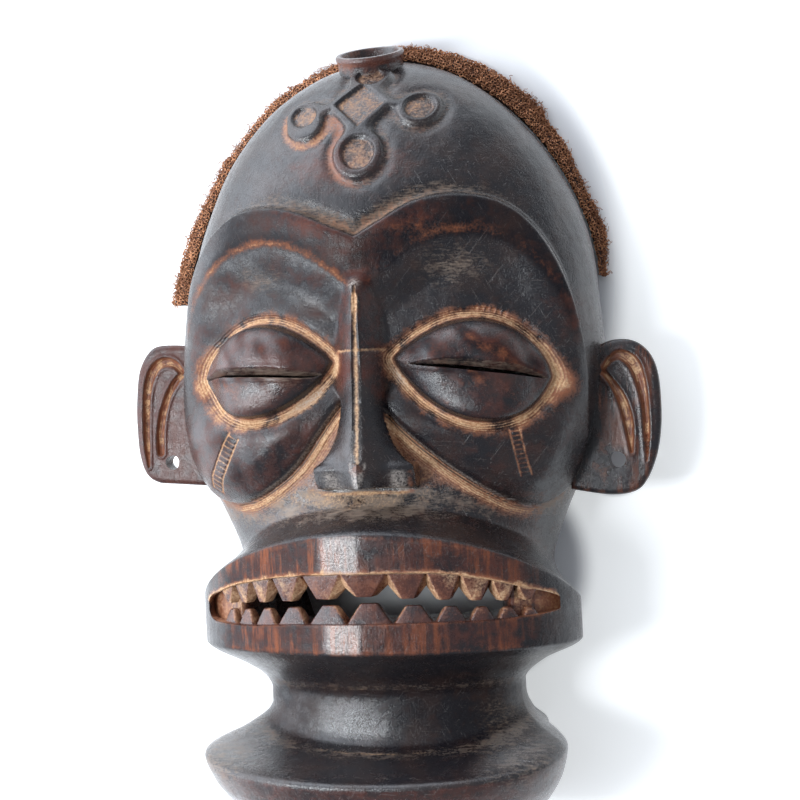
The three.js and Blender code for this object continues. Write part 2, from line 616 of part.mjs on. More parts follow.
// The netting's section, swept round the rim of the dome from one temple to the other.
function netting() {
  const at = through(NET_ROWS);
  const [first, last] = [NET_ROWS[0][0], NET_ROWS[NET_ROWS.length - 1][0]];
  const rings = Array.from({ length: NET.steps + 1 }, (_, i) => {
    const angle = THREE.MathUtils.lerp(first, last, i / NET.steps);
    const rim = rimAt(rad(angle));
    const out = rimAt(rad(angle) - 0.01).sub(rimAt(rad(angle) + 0.01)).normalize();
    out.set(-out.y, out.x);
    const [gap, wide] = at(angle);
    const section = [[0, 0], [0, NET.thick], [wide * 0.4, NET.thick], [wide, NET.edge], [wide, 0]];
    return section.map(([from, z]) => {
      const p = rim.clone().addScaledVector(out, gap + from);
      return new THREE.Vector3(p.x, DOME_Y + p.y, z);
    });
  });
  return skin(rings);
}

function meshOf(made, name, material) {
  const { vertProperties, triVerts } = made.getMesh();
  const geometry = new THREE.BufferGeometry();
  geometry.setAttribute("position", new THREE.BufferAttribute(vertProperties, 3));
  geometry.setIndex(new THREE.BufferAttribute(triVerts, 1));
  geometry.computeVertexNormals();
  const mesh = new THREE.Mesh(geometry, material);
  mesh.name = name;
  return mesh;
}

const WOOD = new THREE.MeshStandardMaterial({ color: 0x2a1d18, roughness: 0.42, metalness: 0 });
const FIBRE = new THREE.MeshStandardMaterial({ color: 0x7a4a2c, roughness: 0.9, metalness: 0 });

const mask = new THREE.Group();
mask.add(meshOf(await carvedMask(), "carved_mask", WOOD));
mask.add(meshOf(netting(), "knotted_netting", FIBRE));

export default mask;
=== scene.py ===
# A carved wooden face mask lying on its open back, looked down on from a little to the right.
# Sizes are in millimetres until a finished mesh is put into metres. X runs across the face, +Y to the
# crown, +Z the way the face looks. Left and right are the viewer's: left is at -X.
import math

import bmesh
import bpy
import numpy as np
from mathutils import Matrix, Vector
from mathutils.kdtree import KDTree


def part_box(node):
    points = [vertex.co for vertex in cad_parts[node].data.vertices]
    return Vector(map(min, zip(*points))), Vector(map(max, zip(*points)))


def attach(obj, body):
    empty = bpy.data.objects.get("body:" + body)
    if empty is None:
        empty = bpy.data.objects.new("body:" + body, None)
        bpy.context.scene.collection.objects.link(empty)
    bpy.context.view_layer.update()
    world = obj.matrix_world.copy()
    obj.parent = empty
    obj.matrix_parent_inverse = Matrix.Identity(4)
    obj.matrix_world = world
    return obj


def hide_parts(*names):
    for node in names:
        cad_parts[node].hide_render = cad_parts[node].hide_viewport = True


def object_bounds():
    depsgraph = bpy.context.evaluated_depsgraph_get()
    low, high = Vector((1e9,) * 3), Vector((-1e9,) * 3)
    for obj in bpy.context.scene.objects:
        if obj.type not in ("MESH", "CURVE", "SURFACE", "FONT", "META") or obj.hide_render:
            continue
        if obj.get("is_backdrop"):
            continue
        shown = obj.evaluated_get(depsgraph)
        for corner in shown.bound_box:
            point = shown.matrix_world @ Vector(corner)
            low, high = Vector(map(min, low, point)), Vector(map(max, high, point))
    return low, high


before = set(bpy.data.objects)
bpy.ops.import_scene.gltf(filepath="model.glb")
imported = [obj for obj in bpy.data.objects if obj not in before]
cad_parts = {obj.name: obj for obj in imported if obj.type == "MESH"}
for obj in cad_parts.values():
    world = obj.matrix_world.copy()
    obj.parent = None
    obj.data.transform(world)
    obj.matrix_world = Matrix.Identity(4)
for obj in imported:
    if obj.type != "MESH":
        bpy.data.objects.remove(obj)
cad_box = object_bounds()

MM = 0.001
PI = math.pi

# Driving sizes of the carved head. Its foot is where the frame's is.
FOOT_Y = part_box("carved_mask")[0][1] / MM
DOME_Y = 50
DOME_RISE = 94
HEAD_HALF = 80.9
HEAD_RIM = 79.2
HEAD_DEPTH = 64
HEAD_KNEE = 22
DOME_BULGE = {"across": 1.8, "front": 2.5}
DOME_KNEE_GAIN = 0.45
DOME_ROUNDNESS = {"low": 2.2, "high": 1.97, "by": 0.4}

# The body is a loft of arches. Each row holds: grid line, y at the sides, y at the front, half width at
# the back rim, widest half width, height of that width, height of the front, roundness, and how late the
# side swells on its way from the rim to its widest.
LINES = 32
DOME_LINE = 21
SIDE_SHARE = 1 / 8
BODY = [
    (0, FOOT_Y, FOOT_Y, 44, 51, 36, 67, 2.1, 1),
    (0.7, -140, -143, 49, 61, 44, 78, 2.1, 1.2),
    (1.3, -129.5, -134.5, 53, 67.5, 49, 85, 2.1, 1.4),
    (2, -119.8, -126.8, 55, 70, 52, 88, 2.1, 1.6),
    (2.15, -118.4, -125.4, 54.5, 69.2, 51, 87.2, 2.1, 1.6),
    (2.8, -113.5, -122, 49, 58.5, 40, 71, 2.1, 1.4),
    (3.6, -108, -118, 46.5, 51.5, 31, 58, 2.1, 1),
    (4.1, -104, -112, 46, 50.3, 29, 56, 2.1, 1),
    (4.8, -99.5, -101, 46, 50.3, 29, 55.5, 2.1, 1),
    (5.3, -96, -96, 46.5, 52, 29, 57.5, 2.1, 1.2),
    (6.1, -89, -88.5, 48, 60, 33, 67, 2, 1.7),
    (6.85, -82.3, -81.9, 49.5, 72.8, 38, 79, 1.95, 2.2),
    (7, -80.9, -80.5, 50, 73.8, 39, 80.2, 1.95, 2.2),
    (10, -66.4, -38.4, 53, 73.8, 39, 80.2, 1.95, 2.2),
    (10.15, -65.2, -37, 53.5, 72.8, 38, 79, 1.95, 2.2),
    (10.6, -60.5, -33, 55, 66, 30, 68.5, 2, 1.7),
    (11.1, -53, -28.5, 58, 61, 18, 60.5, 2.1, 1.2),
    (12, -22, -22, 70, 72.5, 12, 58, 2.4, 1),
    (14.5, -2, -2, 77.5, 81, 14, 60, 2.6, 1),
    (17, 18, 18, 80, 83.6, 15, 62, 2.6, 1),
    (DOME_LINE, DOME_Y, DOME_Y, HEAD_RIM, HEAD_HALF, HEAD_KNEE, HEAD_DEPTH, 2.2, 1),
]

# The carver's two sides differ. At a grid line: share of the width at the rim and at the widest place on
# the left (at -X), and on the right.
SIDES = [
    (0, 1, 1, 0.97, 0.97), (3, 1, 1, 0.97, 0.97), (5, 1, 1, 0.97, 0.97), (6.85, 1, 1, 1, 1),
    (10.15, 1, 1, 1, 1), (11.5, 1.03, 1.04, 1, 1), (12.5, 1.02, 1.03, 1, 1), (14.5, 1.03, 1, 1, 1),
    (18, 1.07, 0.962, 1.01, 1.01), (DOME_LINE, 1.075, 0.96, 1.02, 1.02),
]
LIP_LINES = (7, 10)
LIP_KEEL = {"slope": 0.085, "half": 17, "round": 0.15, "facet": 13, "turn": 0.15, "reach": 14}

# Lines where the carving of the face begins to stand out over the upper lip.
FACE_FADE = (11.05, 11.5)

# The fine sheet of the outside: cells over the front, cells up each side wall, cells from foot to crown,
# how much closer they lie on the face, and the triangles that are kept of it.
FRONT_CELLS = 540
WALL_CELLS = 24
RISE_CELLS = 700
FACE_DENSITY = 1.3
BLOCK_TRIANGLES = 140000

# Edges with a greater angle than this stay sharp in the finished wood.
SHARP_EDGE = 50

# The hollow behind the face: y, half width at the rim, widest half width, height of that width, height of
# the front, roundness.
HOLLOW = [
    (-133, 8, 9, 5, 10, 2),
    (-130, 25, 26, 10, 28, 2),
    (-122, 34, 36, 16, 39, 2.1),
    (-105, 37, 40, 18, 44, 2.1),
    (-88, 39, 44, 20, 48, 2.1),
    (-66, 45, 52, 20, 57, 2.1),
    (-45, 51.5, 52.5, 14, 52, 2.2),
    (-22, 62, 63.5, 10, 49, 2.4),
    (0, 70, 72, 12, 50.5, 2.5),
    (25, 73, 75.5, 12, 52, 2.5),
    (DOME_Y, 73, 74.5, 8, 53.5, 2.3),
]

# How far it reaches up behind the dome and down past the back rim, and the dents that the gouge left in it.
HOLLOW_RISE = 85
HOLLOW_DOME_ROUNDNESS = 2.2
BELOW = 3
GOUGE = {"length": 17, "sway": 1.6, "depth": 0.35}

# Face carving: the heart-shaped plate half by half, and one half outline for both sockets.
PLATE_RIGHT = [
    (0, 70), (9, 74.8), (22, 81.5), (37, 83.2), (52, 79.5), (63, 70), (71, 55.5), (76, 38), (78.3, 20),
    (77.8, 6), (76, -8), (71, -21), (64.5, -29), (56.5, -31.3), (47, -27.5), (34, -18.5), (23, -9.5),
    (13, 0), (6, 8.5), (0, 17),
]
PLATE_LEFT = [
    (0, 17), (-9, 9.5), (-17, -0.5), (-25, -10.5), (-34, -18.5), (-47.5, -25.8), (-59, -27.2), (-68, -23),
    (-74.5, -14.5), (-78, -2), (-78.5, 13), (-78, 29), (-74.5, 47), (-69, 63), (-60.5, 75), (-49, 81.8),
    (-35, 82.8), (-22, 79.8), (-10, 74.3), (0, 70),
]
PLATE_STEP = 3.2
BROW = {"fall": 3, "soft": 1.6, "furrow": 1.3}
SOCKET = [
    (-2, 49), (2.8, 52), (11.5, 59), (21.5, 65.5), (33, 69.5), (46, 69), (58.5, 63), (68, 51.5),
    (73.5, 37), (75.5, 20), (76, -60), (-30, -60), (-30, 26),
]
SOCKET_DEPTH = 4.8
SOCKET_REACH = 15
CHEEK = {"swell": 3.2, "bevel": 1.1, "ledge": 0.5}
NOSE_CUT = {"y": 28.2, "half": 0.6, "depth": 0.35}
TEAR_DEPTH = 0.4

# Slight facets left by the adze, longer than they are wide: height, squeeze along y, length, seed. The last
# number sinks them all, so that none stands over the frame.
ADZE = ((0.12, 0.5, 15, 3), (0.035, 0.6, 4, 4))
ADZE_SINK = 0.13

# Almond eyes: corners, reach of the upper and lower lid. The slit's rows hold its share of the way from
# the inner corner, its middle above the line of the corners and half its height.
EYES = [
    {
        "inner": (-11.5, 24.5), "outer": (-65.5, 20.5), "up": 17, "down": 16.8, "open": 0.22,
        "slit": [(0.08, -3.9, 0.2), (0.14, -3.6, 1.1), (0.4, -1.2, 1.9), (0.6, 0.1, 1.8), (0.8, 1, 1.5),
                 (0.93, 0.2, 0.9), (1, -0.6, 0.2)],
    },
    {
        "inner": (11.8, 24.8), "outer": (67.5, 15.5), "up": 17.8, "down": 18.4, "open": 0.36,
        "slit": [(0.09, -1.2, 0.1), (0.22, -0.2, 1.1), (0.5, 1.2, 2), (0.75, 1.2, 1.8), (0.95, -0.3, 0.5),
                 (0.99, -0.7, 0.1)],
    },
]
LID_CURVE = {"height": 1.02, "inner": 0.9, "outer": 0.68}
EYE_SWELL = 8.5
EYE_SLIT = {"fall": 0.85, "rise": 3, "upper_lip": 0.35, "lower_lip": 0.3}
SLIT_CUT = (25, 92)
EYE_MARK = (71.5, 12.2)
EYE_GROOVE = {"depth": 1.8, "from_edge": 1.6, "inner": 1.1, "outer": 2.2}
NOTCHES = {"from": 0.5, "to": 0.72, "count": 6, "off": 3.9, "depth": 0.5}

# Ladder-like marks under the eyes, from their upper to their lower end.
TEARS = [
    {"from": (-48.7, -1.2), "to": (-61, -22.3), "wide": 4.7, "rung": 2.1},
    {"from": (51.9, -2.6), "to": (54.2, -20.2), "wide": 3.3, "rung": 1.7},
]

# The nose: y, height of its ridge, half width of its foot, fall from the ridge to the foot.
NOSE = [
    (58, 64.5, 3, 1),
    (51, 69, 4.5, 4.5),
    (40, 70.3, 8, 9),
    (28, 71, 9.5, 9.5),
    (16, 71.8, 9, 8.5),
    (8, 72.6, 7.8, 8),
    (-1, 74, 9.3, 9),
    (-8, 75, 12, 9.5),
    (-12, 75.5, 14.6, 9.3),
    (-14.5, 75.8, 17.2, 8.8),
    (-22, 76.4, 17.6, 8.8),
]
NOSE_SIDES = {"fall": 0.25, "free_fall": 5, "wing_groove": 1.3, "web": 2.7}
NOSE_TIP = {"from": -15.2, "fall": 0.2, "wing_fall": 0.42, "end": (-22.8, -21.9)}
NOSE_GROOVE = {"depth": 1.2, "half": 1.2, "top": 52, "foot": -13}

# The knot carved on the forehead: a diamond frame with a loop at each corner. Places are measured along
# the surface from a point of the centre line.
KNOT = {
    "y": 120, "strap": 3, "height": 1.5, "sunk": 1.65, "halo": 0.8, "web": 6, "link": 2.3, "arc": 78.5,
    "diamond": {"x": 0.1, "up": 1, "wide": 9.4, "tall": 11},
}

# Its loops: place, radius, radius of the sunk eye. The last row widens the one on the left.
LOOPS = [
    (2.2, 17.5, 8.2, 5.2), (0.9, -20.8, 9.6, 6.1), (-22, -2.6, 7.9, 5), (22.6, -2.6, 8.3, 5.4),
    (-21.6, -6.3, 7.6, 0),
]

# The tube on the crown, leaning forwards.
CROWN = {
    "x": -0.9, "y": 144.6, "z": 27.5, "lean": 21, "radius": 13.4, "bore": 11, "height": 18, "depth": 12,
    "lip": 0.7,
}

# Ears: flat plates with two gouged grooves and a pierced lobe. X counts away from the middle. A groove's
# points hold x, y and half width.
EAR = {
    "front": 27, "thick": 8, "inset": 1.6, "edge": 1.5, "round": 2.4, "middle": (88.0, 3.0), "rim": 1.2,
    "groove": 1.5, "burr": 0.3, "triangles": 13000,
}
EARS = [
    {
        "side": -1, "hole": (90, -11.6, 2.9),
        "outline": [
            (70, 33.5), (80, 34.8), (93, 35.5), (98.7, 33), (103, 25.6), (104.7, 14), (105, 2),
            (104.3, -8), (101.8, -15.8), (97, -19.4), (89.6, -20.3), (70, -21.8),
        ],
        "grooves": [
            [(84, 24, 1), (87.5, 27.8, 1.5), (92, 28.6, 1.9), (96.3, 25.8, 1.9), (99.3, 18, 1.6),
             (100.5, 4, 1.3), (100.5, -5, 1.1), (100.2, -13, 0.3)],
            [(84, 23.5, 1.2), (87.3, 20.5, 1.3), (90.4, 15.5, 1.2), (93.2, 8, 1.4), (94.6, 0, 1.5),
             (94.8, -7.5, 1.4)],
        ],
    },
    {
        "side": 1, "hole": (87.9, -16.4, 3.2),
        "outline": [
            (70, 20), (82.8, 26.9), (90, 28.8), (96.5, 27.6), (101.5, 23.1), (104.2, 16), (105, 6),
            (104.6, -5), (102.7, -15), (99, -23.6), (94.2, -28.3), (84.6, -29.4), (70, -27),
        ],
        "grooves": [
            [(83.6, 17.4, 0.7), (87, 21.5, 1.3), (91, 22.8, 1.9), (95.3, 19.6, 2.3), (97.8, 13, 1.9),
             (99.1, 4, 1.4), (99.4, -6, 1.2), (99, -17, 0.3)],
            [(83.6, 17.2, 0.9), (87.6, 12, 1.2), (91, 5, 1.8), (92.9, -4, 1.7), (93.4, -13.5, 0.6)],
        ],
    },
]

# Mouth opening and its teeth: x, y of the upper edge, y of the lower edge.
MOUTH = [
    (-67.8, -64.3, -68), (-66.8, -62.8, -69.8), (-63, -60.8, -71.2), (-49, -56.4, -71.4), (-25, -53, -70.3),
    (0, -52.2, -69.8), (25, -52.6, -69.8), (43, -55.4, -70), (58, -59.8, -69.6), (66.8, -63, -69),
    (68, -64, -68.4),
]
MOUTH_END_DEPTH = 6.5
MOUTH_THROUGH = (40, 52)
MOUTH_BACK = 28
MOUTH_BEVEL = {"wide": 0.7, "deep": 1.1}
UPPER_TEETH = (-58.5, -50.5, -42, -32, -16.5, 2.5, 18, 30.5, 42, 51.5, 59)
LOWER_TEETH = (-58, -50, -41, -29.5, -14.5, 3.5, 20, 33, 43.5, 53, 60)
TOOTH = {"thick": 6, "inset": 2, "root": 1.6, "meet": -61.2, "drop": 0.07, "gap": 2.2}
TOOTH_BEVEL = {True: 0.3, False: 0.8}

# Knotted netting along the rim of the dome. Its rows hold: angle from +X, gap to the rim, width.
NET = {"thick": 4.6, "edge": 2.6, "knots": 0.5, "tuck": 0.9}
NET_ROWS = [
    (3, 1.2, 1.5), (6.7, 1.2, 2.8), (12.9, 1.2, 5.2), (16.5, 1.2, 4.6), (22.3, 1.2, 4.2), (28.2, 1.2, 4.6),
    (34, 1.2, 6.4), (38, 1.2, 6.6), (41.5, 1.2, 6.6), (43.6, 1.2, 8.6), (50.5, 1.2, 8.4), (60.5, 1.2, 8.1),
    (70, 1.3, 7.4), (79, 1.8, 5.6), (88, 1.9, 4.6), (100, 1.9, 4.3), (108, 2, 4.3), (113, 2.3, 4.5),
    (119, 2.8, 4.9), (125.6, 3.2, 5.3), (131.6, 3.4, 3.9), (138, 3.3, 3.7), (144, 3, 5), (150, 2.6, 4.6),
    (155.6, 2.5, 5), (161.6, 2.2, 6.6), (168, 2.6, 6.4), (173, 3.2, 7.2), (178.5, 3.6, 7.6),
]
NET_ENDS = (NET_ROWS[0][0], NET_ROWS[-1][0])
NET_STEP = 1.3

# Across the strip under the knots: share of its width, and whether that point lies on the ground.
STRIP_SECTION = ((0.02, 1), (0, 0), (0.2, 0), (0.45, 0), (0.75, 0), (0.93, 0), (0.95, 1))

# One knot, and between which turns and sizes the knots differ.
KNOT_LOOP = {"ring": 0.62, "tube": 0.25, "curl": 0.12}
KNOT_TURN = ((-0.7, -0.7, 0), (0.7, 0.7, 6.28))
KNOT_SIZES = (0.75, 1.3)
NET_SEEDS = {"strip": 21, "places": 31, "loops": 5, "fibres": 44}

# Where the netting is frayed: angle, spread of it, number of fibres.
FRAYS = [
    (4, 2.5, 40), (11, 2.5, 50), (18, 2, 30), (30, 9, 35), (45, 4, 75), (55, 9, 35), (78, 4, 40),
    (84, 1.5, 30), (108, 2.5, 40), (122, 8, 40), (140, 8, 35), (150, 4, 45), (163, 4, 45), (174, 3, 70),
]

# Tones of the wood's finish, and the attributes that carry them, three in each. The near-black tone is a
# painted shade in creases, grooves and under steps, the pale one mostly a painted highlight, and the dusty
# one in a few places a painted sheen.
TONES = (
    "tan", "rust", "dust", "red", "streak", "pale", "cut", "cutting", "soot", "dull", "scratch", "gloss",
)
TONE_LAYERS = {"tones_a": 0, "tones_b": 3, "tones_c": 6, "tones_d": 9}

# Single worn, dusty or shiny spots: tone, strength, place, reach. The pale spot at the lower end of the
# nose's ridge is a painted highlight, and the dusty spots on the collar are partly a painted sheen.
WEAR_AND_HIGHLIGHT_SPOTS = [
    ("pale", 0.9, (-0.4, 52.5), (2.6, 2.2)), ("pale", 0.9, (-0.6, -19), (1.5, 3)),
    ("rust", 0.6, (-0.6, -15), (3, 4)), ("rust", 0.5, (-62, -26), (9, 4)),
    ("rust", 0.4, (60, -28), (9, 3.5)), ("red", 0.22, (-62, 30), (14, 26)),
    ("red", 0.4, (-14, 99), (14, 9)), ("red", 0.25, (14, 97), (10, 8)),
    ("red", 0.3, (72, 40), (10, 18)), ("red", 0.2, (0, 60), (20, 8)),
    ("dust", 0.4, (-42, 57), (11, 7)), ("dust", 0.45, (36, 58), (14, 8)),
    ("dust", 0.6, (-62, -124), (16, 10)), ("dust", 0.4, (56, -122), (16, 9)),
    ("dust", 0.35, (44, -108), (10, 8)), ("gloss", 2.2, (-64, 62), (10, 14)),
]

# Colours of the wood, from its polish to what lies on it. The near-black after the straw is a painted
# shade, the light grey after it a painted highlight, and the dusty grey also a painted sheen in places.
WOOD = {
    "black": (0.0080, 0.0070, 0.0092), "umber": (0.020, 0.0118, 0.0108), "brown": (0.034, 0.016, 0.012),
    "red": (0.070, 0.0215, 0.0150), "streak": (0.21, 0.058, 0.020), "pore": (0.009, 0.006, 0.006),
    "dust": (0.24, 0.180, 0.135), "rust": (0.24, 0.082, 0.036), "ochre": (0.37, 0.175, 0.078),
    "straw": (0.62, 0.42, 0.25), "soot": (0.008, 0.006, 0.006), "painted_highlight": (0.43, 0.38, 0.34),
    "scratch": (0.15, 0.125, 0.11), "mote": (0.12, 0.095, 0.085),
}

# Fine scratches: which way they run, and their seed.
SCRATCH_WAYS = ((0.5, 11.3), (-0.7, 13.1), (1.5, 17.9))

# Two colours of the plant fibre in the light, and darker ones for the strip under it: a painted shade.
FIBRE_COLOURS = ((0.17, 0.058, 0.024), (0.70, 0.33, 0.16))
PAINTED_SHADE_COLOURS = ((0.020, 0.008, 0.005), (0.07, 0.026, 0.013))

# The view: degrees aside and turned, lens and film, place of the eye in metres.
CAMERA = {"aside": 14, "roll": 2.5, "lens": 72, "film": 36, "eye": (0.154975, 0.009495, 0.627994)}

# The studio: where its bright side is, and how strong its dim and its bright side are. Then the limits
# between the two, and the soft box's name, direction, distance, size, strength and colour.
BRIGHT_SIDE = (-0.87, 0.49, 0.07)
GLOW = (0.42, 5.1)
SKY = {"side": (0.12, 0.88), "rise": (0.2, 0.85), "top": 0.3, "colour": (0.92, 0.97, 1.06)}
LEFT_BOX = ("left box", (-0.52, -0.09, 0.85), 0.9, (0.2, 0.34), 6.0, (0.93, 0.97, 1.0))

# The table, in metres, glows outside of these ovals under the mask: middle, half width, half height.
# The glow is a painted light, and the ovals without it paint the mask's soft shadow and the dark seen
# through its mouth and its right ear's hole.
FLOOR_HALF = 3.0
TABLE = {"colour": (0.80, 0.81, 0.82), "glow_colour": (0.97, 1.0, 1.0), "glow": 0.48}
PAINTED_SHADOW_OVALS = [(0, 60, 85, 110), (0, -58, 68, 50), (84, -17, 14, 14)]


# Curves and blends

def smooth(start, end, t):
    """Rises from 0 at start to 1 at end with soft ends."""
    s = np.clip((t - start) / (end - start), 0, 1)
    return s * s * (3 - 2 * s)


def bell(t, width):
    """A soft swell, 1 at 0."""
    return np.exp(-((t / width) ** 2))


def blend(a, b, reach):
    """The greater of two heights, with a soft web where they are close."""
    return np.maximum(a, b) + np.maximum(reach - np.abs(a - b), 0) ** 2 / reach / 4


def through(rows):
    """A smooth curve through rows of numbers, without overshoot, that gives the row at a first value."""
    table = np.array(sorted(rows), float)
    keys, values = table[:, 0], table[:, 1:]
    spans = np.diff(keys)
    rises = np.diff(values, axis=0) / spans[:, None]
    before, after = rises[:-1], rises[1:]
    slopes = np.zeros_like(values)
    bends = before * after > 0
    slopes[1:-1][bends] = 2 * before[bends] * after[bends] / (before[bends] + after[bends])

    def at(key):
        k = np.clip(np.asarray(key, float), keys[0], keys[-1])
        i = np.clip(np.searchsorted(keys, k, side="right") - 1, 0, len(keys) - 2)
        span = spans[i][..., None]
        t = ((k - keys[i]) / spans[i])[..., None]
        bend = t * (1 - t) * ((1 - t) * slopes[i] - t * slopes[i + 1]) * span
        return values[i] + (values[i + 1] - values[i]) * t * t * (3 - 2 * t) + bend

    return at


def columns(rows, at):
    """The columns of a table of rows, read at a place."""
    return np.moveaxis(through(rows)(at), -1, 0)


def spline(points, count):
    """Points along a Catmull-Rom curve through a few places."""
    p = np.array(points, float)
    padded = np.vstack([p[:1], p, p[-1:]])
    where = np.linspace(0, len(p) - 1, count)
    i = np.minimum(where.astype(int), len(p) - 2)
    t = (where - i)[:, None]
    a, b, c, d = (padded[i + k] for k in range(4))
    return 0.5 * (2 * b + (c - a) * t + (2 * a - 5 * b + 4 * c - d) * t**2 + (3 * b - a - 3 * c + d) * t**3)


def distance_to(points, x, y, closed=False):
    """Distance to a line of points in the front view, and for a closed one whether a place is inside."""
    nearest = np.full(np.shape(x), np.inf)
    inside = np.zeros(np.shape(x), bool)
    ends = np.roll(points, -1, axis=0) if closed else points[1:]
    for (ax, ay), (bx, by) in zip(points, ends):
        dx, dy = bx - ax, by - ay
        length = dx * dx + dy * dy
        if length < 1e-9:
            continue
        t = np.clip(((x - ax) * dx + (y - ay) * dy) / length, 0, 1)
        nearest = np.minimum(nearest, (x - ax - t * dx) ** 2 + (y - ay - t * dy) ** 2)
        if closed and ay != by:
            crosses = (ay > y) != (by > y)
            inside ^= crosses & (x < ax + (y - ay) * dx / dy)
    return np.sqrt(nearest), inside


def inside_outline(points, x, y):
    """Signed distance to a closed outline in the front view, positive inside."""
    distance, inside = distance_to(np.asarray(points), x, y, closed=True)
    return np.where(inside, distance, -distance)


def waves(x, y, z, size, count, seed):
    """A soft uneven field between about -1 and 1 whose swells are this many millimetres long."""
    rng = np.random.default_rng(seed)
    total = np.zeros(np.shape(x))
    for _ in range(count):
        way = rng.normal(size=3)
        way *= 2 * PI / size / np.linalg.norm(way) * rng.uniform(0.6, 1.5)
        total += np.sin(x * way[0] + y * way[1] + z * way[2] + rng.uniform(0, 2 * PI))
    return total / math.sqrt(count)


def near(x, y, place, reach):
    """A soft spot, 1 at its middle."""
    return np.exp(-(((x - place[0]) / reach[0]) ** 2) - ((y - place[1]) / reach[1]) ** 2)


# The outside of the head

def arches(lines):
    """Columns of the body's table at grid lines, with the dome worked out as an ellipsoid."""
    low = through(BODY)(np.minimum(lines, DOME_LINE))
    rise = np.clip((lines - DOME_LINE) / (LINES - DOME_LINE), 0, 1) * PI / 2
    y = DOME_Y + DOME_RISE * np.sin(rise)
    across, front = (np.maximum(1 - np.sin(rise) ** p, 0) ** (1 / p) for p in DOME_BULGE.values())
    shape = DOME_ROUNDNESS
    roundness = shape["low"] + (shape["high"] - shape["low"]) * smooth(0, shape["by"], rise)
    knee = HEAD_KNEE * front * (1 + DOME_KNEE_GAIN * smooth(0.3, 1.2, rise))
    dome = [y, y, HEAD_RIM * across, HEAD_HALF * across, knee, HEAD_DEPTH * front, roundness]
    dome = np.stack([*dome, np.ones_like(y)], axis=-1)
    return np.where((lines > DOME_LINE)[..., None], dome, low)


def on_arch(rows, across, sides=(1, 1, 1, 1)):
    """Points of arches, from the left rim (0) over the front to the right rim (1)."""
    y_side, y_front, rim, wide, knee, top, roundness, late = np.moveaxis(rows, -1, 0)[..., None]
    side = np.where(across < 0.5, -1, 1)
    rim_left, wide_left, rim_right, wide_right = np.moveaxis(np.array(sides), -1, 0)[..., None]
    rim = rim * np.where(side < 0, rim_left, rim_right)
    wide = wide * np.where(side < 0, wide_left, wide_right)
    u = np.minimum(across, 1 - across)
    wall = np.clip(u / SIDE_SHARE, 0, 1)
    turn = np.clip((u - SIDE_SHARE) / (0.5 - SIDE_SHARE), 0, 1) * PI / 2
    up = np.sin(turn) ** (2 / roundness)
    low_x = rim + (wide - rim) * np.sin(wall * PI / 2) ** late
    high_x = wide * np.maximum(np.cos(turn), 0) ** (2 / roundness)
    x = side * np.where(u < SIDE_SHARE, low_x, high_x)
    y = y_side + (y_front - y_side) * up**1.2
    z = np.where(u < SIDE_SHARE, knee * wall, knee + (top - knee) * up)
    return x, y + 0 * x, z + 0 * x


def lip_front(x):
    """Height of the lips' front at a place across the mouth."""
    _, _, _, wide, knee, top, roundness, _ = arches(np.array([8.0]))[0]
    share = np.maximum(1 - (np.abs(x) / wide) ** roundness, 0) ** (1 / roundness)
    return knee + (top - knee) * share - keel(x)


def keel(x):
    """How far the lips fall away from their middle line, with a flat facet on the left of it."""
    half, reach = LIP_KEEL["half"], LIP_KEEL["reach"]
    past = np.maximum(-x - LIP_KEEL["facet"], 0)
    turned = LIP_KEEL["turn"] * reach * (1 - np.exp(-past / reach))
    return LIP_KEEL["slope"] * half * np.tanh(np.sqrt(x * x + LIP_KEEL["round"]) / half) + turned


def lid_curve(t):
    """Height of a lid over the line between the corners, from the inner one (-1) to the outer one (1)."""
    inner, outer = LID_CURVE["inner"], LID_CURVE["outer"]
    return LID_CURVE["height"] * np.maximum(1 + t, 0) ** inner * np.maximum(1 - t, 0) ** outer


def eye_line(eye):
    """An eye's inner corner, the way to its outer one, and the way up from between them."""
    inner = np.array(eye["inner"])
    way = np.array(eye["outer"]) - inner
    return inner, way, np.array([-way[1], way[0]]) / np.linalg.norm(way) * np.sign(way[0])


def almond(eye):
    """An eye's outline as a closed line of points."""
    inner, way, up = eye_line(eye)
    along = -np.cos(np.linspace(0, PI, 40))
    place = inner + way * ((along + 1) / 2)[:, None]
    over = place + up * (lid_curve(along) * eye["up"])[:, None]
    under = place - up * (lid_curve(along) * eye["down"])[:, None]
    return np.vstack([over, under[-2:0:-1]])


def eye_field(x, y, eye):
    """Millimetres inside an almond eye, share of the way from its inner corner, height over that line."""
    inner, way, up = eye_line(eye)
    length = np.linalg.norm(way)
    px, py = x - inner[0], y - inner[1]
    share = (px * way[0] + py * way[1]) / length**2
    across = px * up[0] + py * up[1]
    along = np.clip(2 * share - 1, -1, 1)
    reach = np.where(across > 0, eye["up"], eye["down"])
    below, above = np.maximum(along - 0.02, -1), np.minimum(along + 0.02, 1)
    slope = reach * (lid_curve(above) - lid_curve(below)) / (above - below) / (length / 2)
    lid = (reach * lid_curve(along) - np.abs(across)) / np.hypot(1, slope)
    middle = inner + way / 2
    close = (np.abs(x - middle[0]) < 45) & (np.abs(y - middle[1]) < 34)
    inside = np.full(np.shape(x), -30.0)
    edge = inside_outline(almond(eye), x[close], y[close])
    inside[close] = np.where(edge > 0, np.maximum(lid[close], 0), edge)
    return inside, share, across


def slit_field(share, across, eye):
    """Millimetres below the upper edge of an eye's slit, and its whole height there."""
    middle, half = columns(eye["slit"], share)
    first, last = eye["slit"][0][0], eye["slit"][-1][0]
    half = np.where((share > first) & (share < last), half, 0)
    return middle + half - across, 2 * half


